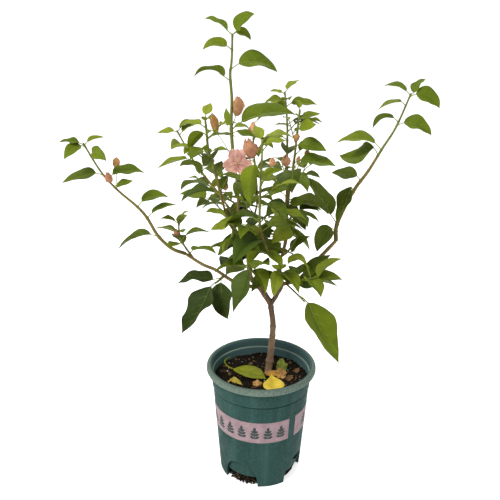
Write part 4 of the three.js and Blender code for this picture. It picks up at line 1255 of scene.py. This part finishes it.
def open_bloom(forms, veins, flowers, foot, facing, height, draws):
    """Three broad ruffled bracts that lie open round their small flowers."""
    facing = unit(facing)
    across = unit(np.cross(UP, facing))
    shares, spans = np.linspace(0, 1, 15)[:, None], np.linspace(-1, 1, 13)
    half = height * 0.35 * (0.1 + 0.9 * np.sin(math.pi * (shares * 0.86 + 0.04)) ** 0.55)
    along = height * 0.56 * shares
    for bract in range(3):
        turn = math.radians(-30 + 120 * bract)
        spoke = math.cos(turn) * across + math.sin(turn) * np.cross(facing, across)
        phase = draws.between(0, 6.28)
        ruffle = 0.09 * spans**2 * np.sin(11 * shares + phase + 3 * spans)
        ruffle = ruffle + 0.02 * np.sin(8 * spans + phase) * shares
        lift = (0.5 * along - 0.016 * along**2 + height * ruffle)[..., None]
        out = (along + height * 0.03 * np.sin(7 * spans + phase) * shares**2)[..., None]
        aside = (half * spans)[..., None] * np.cross(facing, spoke)
        outer = foot + spoke * out + aside + facing * lift
        inner = outer - BRACT_THICK * facing
        forms.skin(np.concatenate([outer[:, ::-1], inner], axis=1))
        for column, reach in ((6, 13), (3, 10), (9, 10)):
            rod(veins, outer[1:reach:2, column], (0.42, 0.2), 4)
        tip = foot + facing * height * 0.26 + spoke * height * 0.12
        rod(flowers, [foot, mix(foot, tip, 0.5) + spoke * 0.4, tip], (0.7, 0.5), 6)
        lump(flowers, tip, height * 0.11, draws)


def bloom_parts(name, share, turn, stalk, faces):
    """Where a bloom's stalk starts and ends, and the way the bloom points."""
    root = curves[name].at(share)
    foot = root + unit(0.6 * outward(turn) + UP) * stalk
    level = 1.6 * outward(faces[0]) if faces else 0.25 * outward(turn)
    return root, foot, unit(level + UP)


# Darkest and lightest colour of the bracts, as they look on a screen.
BLOOM_TONES = {
    "salmon": ((178, 126, 90), (222, 168, 128)),
    "amber": ((132, 96, 52), (186, 142, 88)),
    "rose": ((130, 88, 62), (178, 126, 98)),
    "blush": ((204, 148, 136), (234, 186, 168)),
}
# Tone of each bloom of a shoot, and how slim it is.
BLOOM_LOOKS = {
    "left_shoot": [("amber", 0.8), ("rose", 0.9)],
    "left_sprig": [("rose", 1)],
    "mid_left_shoot": [("blush", 1)],
    "leader_shoot": [("salmon", 0.8), ("amber", 0.55)],
    "front_shoot": [("rose", 0.98), ("salmon", 0.9)],
    "mid_right_shoot": [("salmon", 0.9), ("salmon", 0.8), ("amber", 0.9), ("amber", 0.8)],
}
USUAL_LOOK = ("salmon", 0.9)


def add_blooms():
    bracts = {tone: Forms() for tone in BLOOM_TONES}
    stalks, veins, flowers = Forms(), Forms(), Forms()
    number = 0
    for name, blooms in BLOOMS.items():
        looks = BLOOM_LOOKS.get(name, [])
        for place, (share, turn, stalk, height, *faces) in enumerate(blooms):
            number += 1
            draws = Draws(number * 91)
            root, foot, facing = bloom_parts(name, share, turn, stalk, faces)
            top = foot + facing * height * (0.35 if faces else 1)
            if corner_tree(name).find(Vector(top))[2] > BLOOM_NEAR:
                continue
            bend = mix(root, foot, 0.55) + UP * stalk * 0.06
            rod(stalks, [root, bend, foot + facing * 0.8], (0.6, 0.45))
            tone, slim = looks[place] if place < len(looks) else USUAL_LOOK
            if faces:
                open_bloom(bracts[tone], veins, flowers, foot, facing, height, draws)
            else:
                closed_bloom(bracts[tone], foot, facing, height, slim, draws)
    for tone, forms in bracts.items():
        paper = mottled("bract_" + tone, BLOOM_TONES[tone], 110, (0.65, 0.85), 0.3, 0.0006)
        made("bracts_" + tone, forms, paper, smooth=60)
    green = mottled("bloom_stalk", ((104, 108, 46), (134, 134, 68)), 120, (0.5, 0.7))
    made("bloom_stalks", stalks, green)
    pink = mottled("bract_vein", ((176, 92, 118), (198, 122, 142)), 200, (0.65, 0.85))
    made("bract_veins", veins, pink)
    cream = mottled("small_flower", ((200, 168, 110), (230, 206, 160)), 200, (0.6, 0.8))
    made("small_flowers", flowers, cream)


# Short leafy twigs inside the crown that the plain part leaves out: the stem each grows on, the
# share of its length, and the turn it points to.
INNER_TWIGS = [
    ("left_fork", 0.85, 320), ("leader_bough", 0.3, 110), ("leader_bough", 0.75, 60),
    ("mid_left_bough", 0.7, 240), ("front_bough", 0.6, 320), ("right_fork", 0.9, 210),
    ("back_bough", 0.5, 210), ("back_bough", 0.85, 110), ("mid_right_bough", 0.6, 20),
    ("upper_left_bough", 0.5, 200), ("rear_bough", 0.5, 100), ("rear_bough", 0.8, 250),
    ("front_shoot", 0.16, 250),
]
INNER_LENGTH = 22
# The inner leaves' places along TINTS, deep partly as painted shade inside the crown.
INNER_AGES_AND_SHADE = (1.2, 4)


def inner_leaves(number, name, turn):
    """The leaves of an inner twig."""
    draws = Draws(number * 37 + 3)
    leaves = []
    for place, swing in TWIG_LEAVES:
        slopes = (draws.between(-10, 35), draws.between(-55, -10))
        length = draws.between(28, 44)
        around = turn + swing + 15 * draws.spread()
        leaves.append(leaf_at(name, place, around, length, slopes, 20 * draws.spread(), LEAF_FOLD))
    return leaves


def add_leaf(greenery, leaf, tint):
    """A blade of one tint with its ribs and its stalk."""
    add_blade(greenery[tint], leaf)
    # Leaves with a painted-shade tint get the darker ribs.
    ribs = greenery["deep_ribs" if tint in DEEP_TINTS else "pale_ribs"]
    add_midrib(ribs, leaf)
    if leaf["length"] > VEINED_LENGTH:
        add_side_veins(ribs, leaf)
    middle = mix(leaf["root"], leaf["foot"], 0.5) + UP * leaf["length"] * 0.012
    end = blade_frame(leaf, 0.02)[0]
    thick = PETIOLE_RADIUS * STOUT_STALK * max(1, leaf["length"] / 64)
    rod(greenery["stalks"], [leaf["root"], middle, end], (thick, thick * 0.8))


def add_twig(greenery, name, stations):
    tube(greenery["young"], curves[name], lambda share: mix(*TWIG_RADII, share), 8, stations)


def add_shoot(greenery, number, name):
    """A shoot with its twigs, woody below and young above, and its leaves."""
    for k, (share, turn) in enumerate(TWIGS.get(name, [])):
        lay_twig(twig_name(name, k), name, share, turn, TWIG_LENGTH)
        add_twig(greenery, twig_name(name, k), np.linspace(0, 1, 14))
    curve = curves[name]
    length = curve.length()
    leaves = {i: leaf for i, leaf in enumerate(leaves_of(name)) if (name, i) not in LEFT_OUT}
    nodes = [leaf["share"] for leaf in leaves.values()]

    def radius(share):
        swell = sum(math.exp(-(((share - k) * length / 1.6) ** 2)) for k in nodes)
        return STOUT_STEM * mix(*curve.radii, share) * (1 + 0.2 * min(swell, 1.2))

    cut = WOODY.get(name, USUALLY_WOODY)
    steps = int(length / 1.8) + 4
    low = np.linspace(0, cut, max(3, int(steps * cut)))
    high = np.linspace(cut - 0.01, 1, max(3, int(steps * (1 - cut))))
    tube(greenery["woody"], curve, radius, 12, low, bark_relief(length, number * 13 + 5))
    tube(greenery["young"], curve, radius, 12, high)
    draws = Draws(number * 53 + 11)
    ages_and_shade = AGES_AND_SHADE.get(name, SKIRT_AGES_AND_SHADE if "skirt" in name else USUAL_AGES_AND_SHADE)
    for i, leaf in leaves.items():
        dressed(leaf, draws)
        tint = tint_of(leaf, ages_and_shade, draws)
        add_leaf(greenery, leaf, OWN_TINTS.get((name, i), tint))


def add_foliage():
    kinds = [*TINTS, "pale_ribs", "deep_ribs", "stalks", "young", "woody"]
    greenery = {kind: Forms() for kind in kinds}
    for name, shoot in SHOOTS.items():
        lay_stem(name, *shoot)
    for number, name in enumerate(SHOOTS):
        add_shoot(greenery, number, name)
    draws = Draws(4711)
    for number, (stem, share, turn) in enumerate(INNER_TWIGS):
        name = twig_name("inner", number)
        lay_twig(name, stem, share, turn, INNER_LENGTH)
        add_twig(greenery, name, np.linspace(0, 1, 12))
        for leaf in inner_leaves(number, name, turn):
            dressed(leaf, draws)
            add_leaf(greenery, leaf, tint_of(leaf, INNER_AGES_AND_SHADE, draws))
    # A material for each tint: the darker copies are partly painted shade.
    for tint in TINTS:
        green = leaf_material("leaf_" + tint, *TINTS[tint])
        made("leaves_" + tint, greenery[tint], green, smooth=70)
    for shade, tones in RIB_TONES.items():
        rib = mottled("leaf_rib_" + shade, tones, 90, (0.45, 0.6))
        made("leaf_ribs_" + shade, greenery[shade + "_ribs"], rib)
    stalk = mottled("leaf_stalk", ((100, 114, 34), (132, 142, 54)), 90, (0.45, 0.6))
    made("leaf_stalks", greenery["stalks"], stalk)
    green = mottled("young_stem", ((80, 88, 32), (110, 114, 50)), 90, (0.5, 0.7), 0.2)
    made("young_stems", greenery["young"], green)
    brown = mottled("woody_shoot", ((88, 78, 34), (120, 108, 54)), 120, (0.6, 0.85), 0.4, 0.0006)
    made("woody_shoots", greenery["woody"], brown, list(SHOOTS))


# Scraps of leaf and bark on the soil: foot of each from above, heading, length, width over length,
# slopes at its two ends, roll and tone.
LITTER = [
    ((30, 11), 84, 25, 0.72, (48, 10), 18, "olive"),
    ((22, 1), 18, 19, 0.85, (34, -26), 24, "tan"),
    ((16, 2), 150, 14, 0.8, (30, -30), -20, "tan"),
    ((37, -1), 200, 15, 0.7, (28, -20), -28, "tan"),
    ((-12, -25), 4, 16, 0.7, (24, -26), 22, "tan"),
    ((-3, -30), 60, 12, 0.7, (20, -20), -20, "umber"),
    ((-46, -10), -42, 27, 0.34, (22, -18), 30, "straw"),
    ((-50, -16), -20, 15, 0.7, (20, -24), -18, "tan"),
    ((38, -15), 52, 15, 0.55, (26, -20), 24, "umber"),
    ((53, 8), 74, 15, 0.6, (28, -22), -20, "umber"),
    ((46, -6), 120, 12, 0.6, (22, -24), 20, "tan"),
]
LITTER_TONES = {
    "olive": ((100, 112, 40), (134, 142, 62)),
    "tan": ((150, 104, 54), (200, 156, 96)),
    "umber": ((76, 54, 32), (120, 90, 58)),
    "straw": ((150, 138, 44), (186, 168, 74)),
}


def loose_leaf(foot, heading, length, slopes, roll, fold, width, seed):
    """A leaf or scrap that lies on the soil, with its own width over its length."""
    leaf = {
        "foot": np.array(foot), "heading": heading, "length": length, "slopes": slopes,
        "roll": roll, "fold": fold, "width": width,
    }
    return dressed(leaf, Draws(seed))


def add_litter():
    scraps = {tone: Forms() for tone in LITTER_TONES}
    for number, ((x, y), heading, length, width, slopes, roll, tone) in enumerate(LITTER):
        foot = [x, y, soil_height(x, y) + 2.2]
        leaf = loose_leaf(foot, heading, length, slopes, roll, 14, width, number * 19 + 41)
        leaf["ripple"], leaf["waves"], leaf["quilt"] = 0.34, 15, 0.22
        add_blade(scraps[tone], leaf, LOOSE_THICK)
    for tone, forms in scraps.items():
        dry = mottled("litter_" + tone, LITTER_TONES[tone], 130, (0.65, 0.85), 0.3, 0.0006)
        made("litter_" + tone, forms, dry)


# Darkest and lightest colour of the dropped leaves.
FALLEN_LOOKS = {
    "fallen_leaf_green": ((106, 116, 12), (144, 146, 28)),
    "fallen_leaf_yellow": ((196, 168, 44), (226, 198, 80)),
    "fallen_leaf_orange": ((168, 118, 40), (208, 156, 70)),
}
FALLEN_LIFT = 1.4  # above the plain leaf, so that no crumb pokes through
# Where the greatest width of a dropped leaf lies, how much its margin waves, and its taper.
FALLEN_SHAPES = {
    "fallen_leaf_green": (0.5, 0.06, 1.2),
    "fallen_leaf_yellow": (0.34, 0.08, 2.4),
    "fallen_leaf_orange": (0.4, 0.3, 1.2),
}
CURLED = {"fallen_leaf_yellow": (6, 24)}  # slopes of a leaf whose tip has curled up as it dried
# The way of a dropped leaf's long curled stalk, from its blade on.
FALLEN_STALKS = {
    "fallen_leaf_green": [
        (-50, 23, 154.5), (-54.9, 31.8, 157), (-52.3, 39.8, 158), (-46.1, 44.7, 158)],
}


def add_fallen():
    for number, (name, (foot, heading, length, slopes, width)) in enumerate(FALLEN.items()):
        foot, seed = [*foot, 0.0], number * 7 + 900
        leaf = loose_leaf(foot, heading, length, slopes, 0, FALLEN_FOLD, width, seed)
        leaf["widest"], leaf["ripple"], leaf["taper"] = FALLEN_SHAPES[name]
        tip = blade_frame(leaf, 1.0)[0]
        corners = [v.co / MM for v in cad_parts[name].data.vertices]
        level = min(corners, key=lambda c: math.hypot(c.x - tip[0], c.y - tip[1]))
        leaf["foot"][2] = level.z - tip[2] + FALLEN_LIFT
        leaf["slopes"] = CURLED.get(name, slopes)
        forms = Forms()
        add_blade(forms, leaf, LOOSE_THICK)
        if name in FALLEN_STALKS:
            rod(forms, [leaf["foot"] + UP * 0.3, *FALLEN_STALKS[name]], (1.0, 0.6), 6)
        material = mottled(name, FALLEN_LOOKS[name], 90, (0.5, 0.7), 0.2, 0.0005)
        made(name.replace("fallen", "dropped"), forms, material, [name])


add_camera()
add_light()
add_floor()
add_pot()
add_band()
add_soil()
add_limbs()
add_foliage()
add_blooms()
add_fallen()
add_litter()
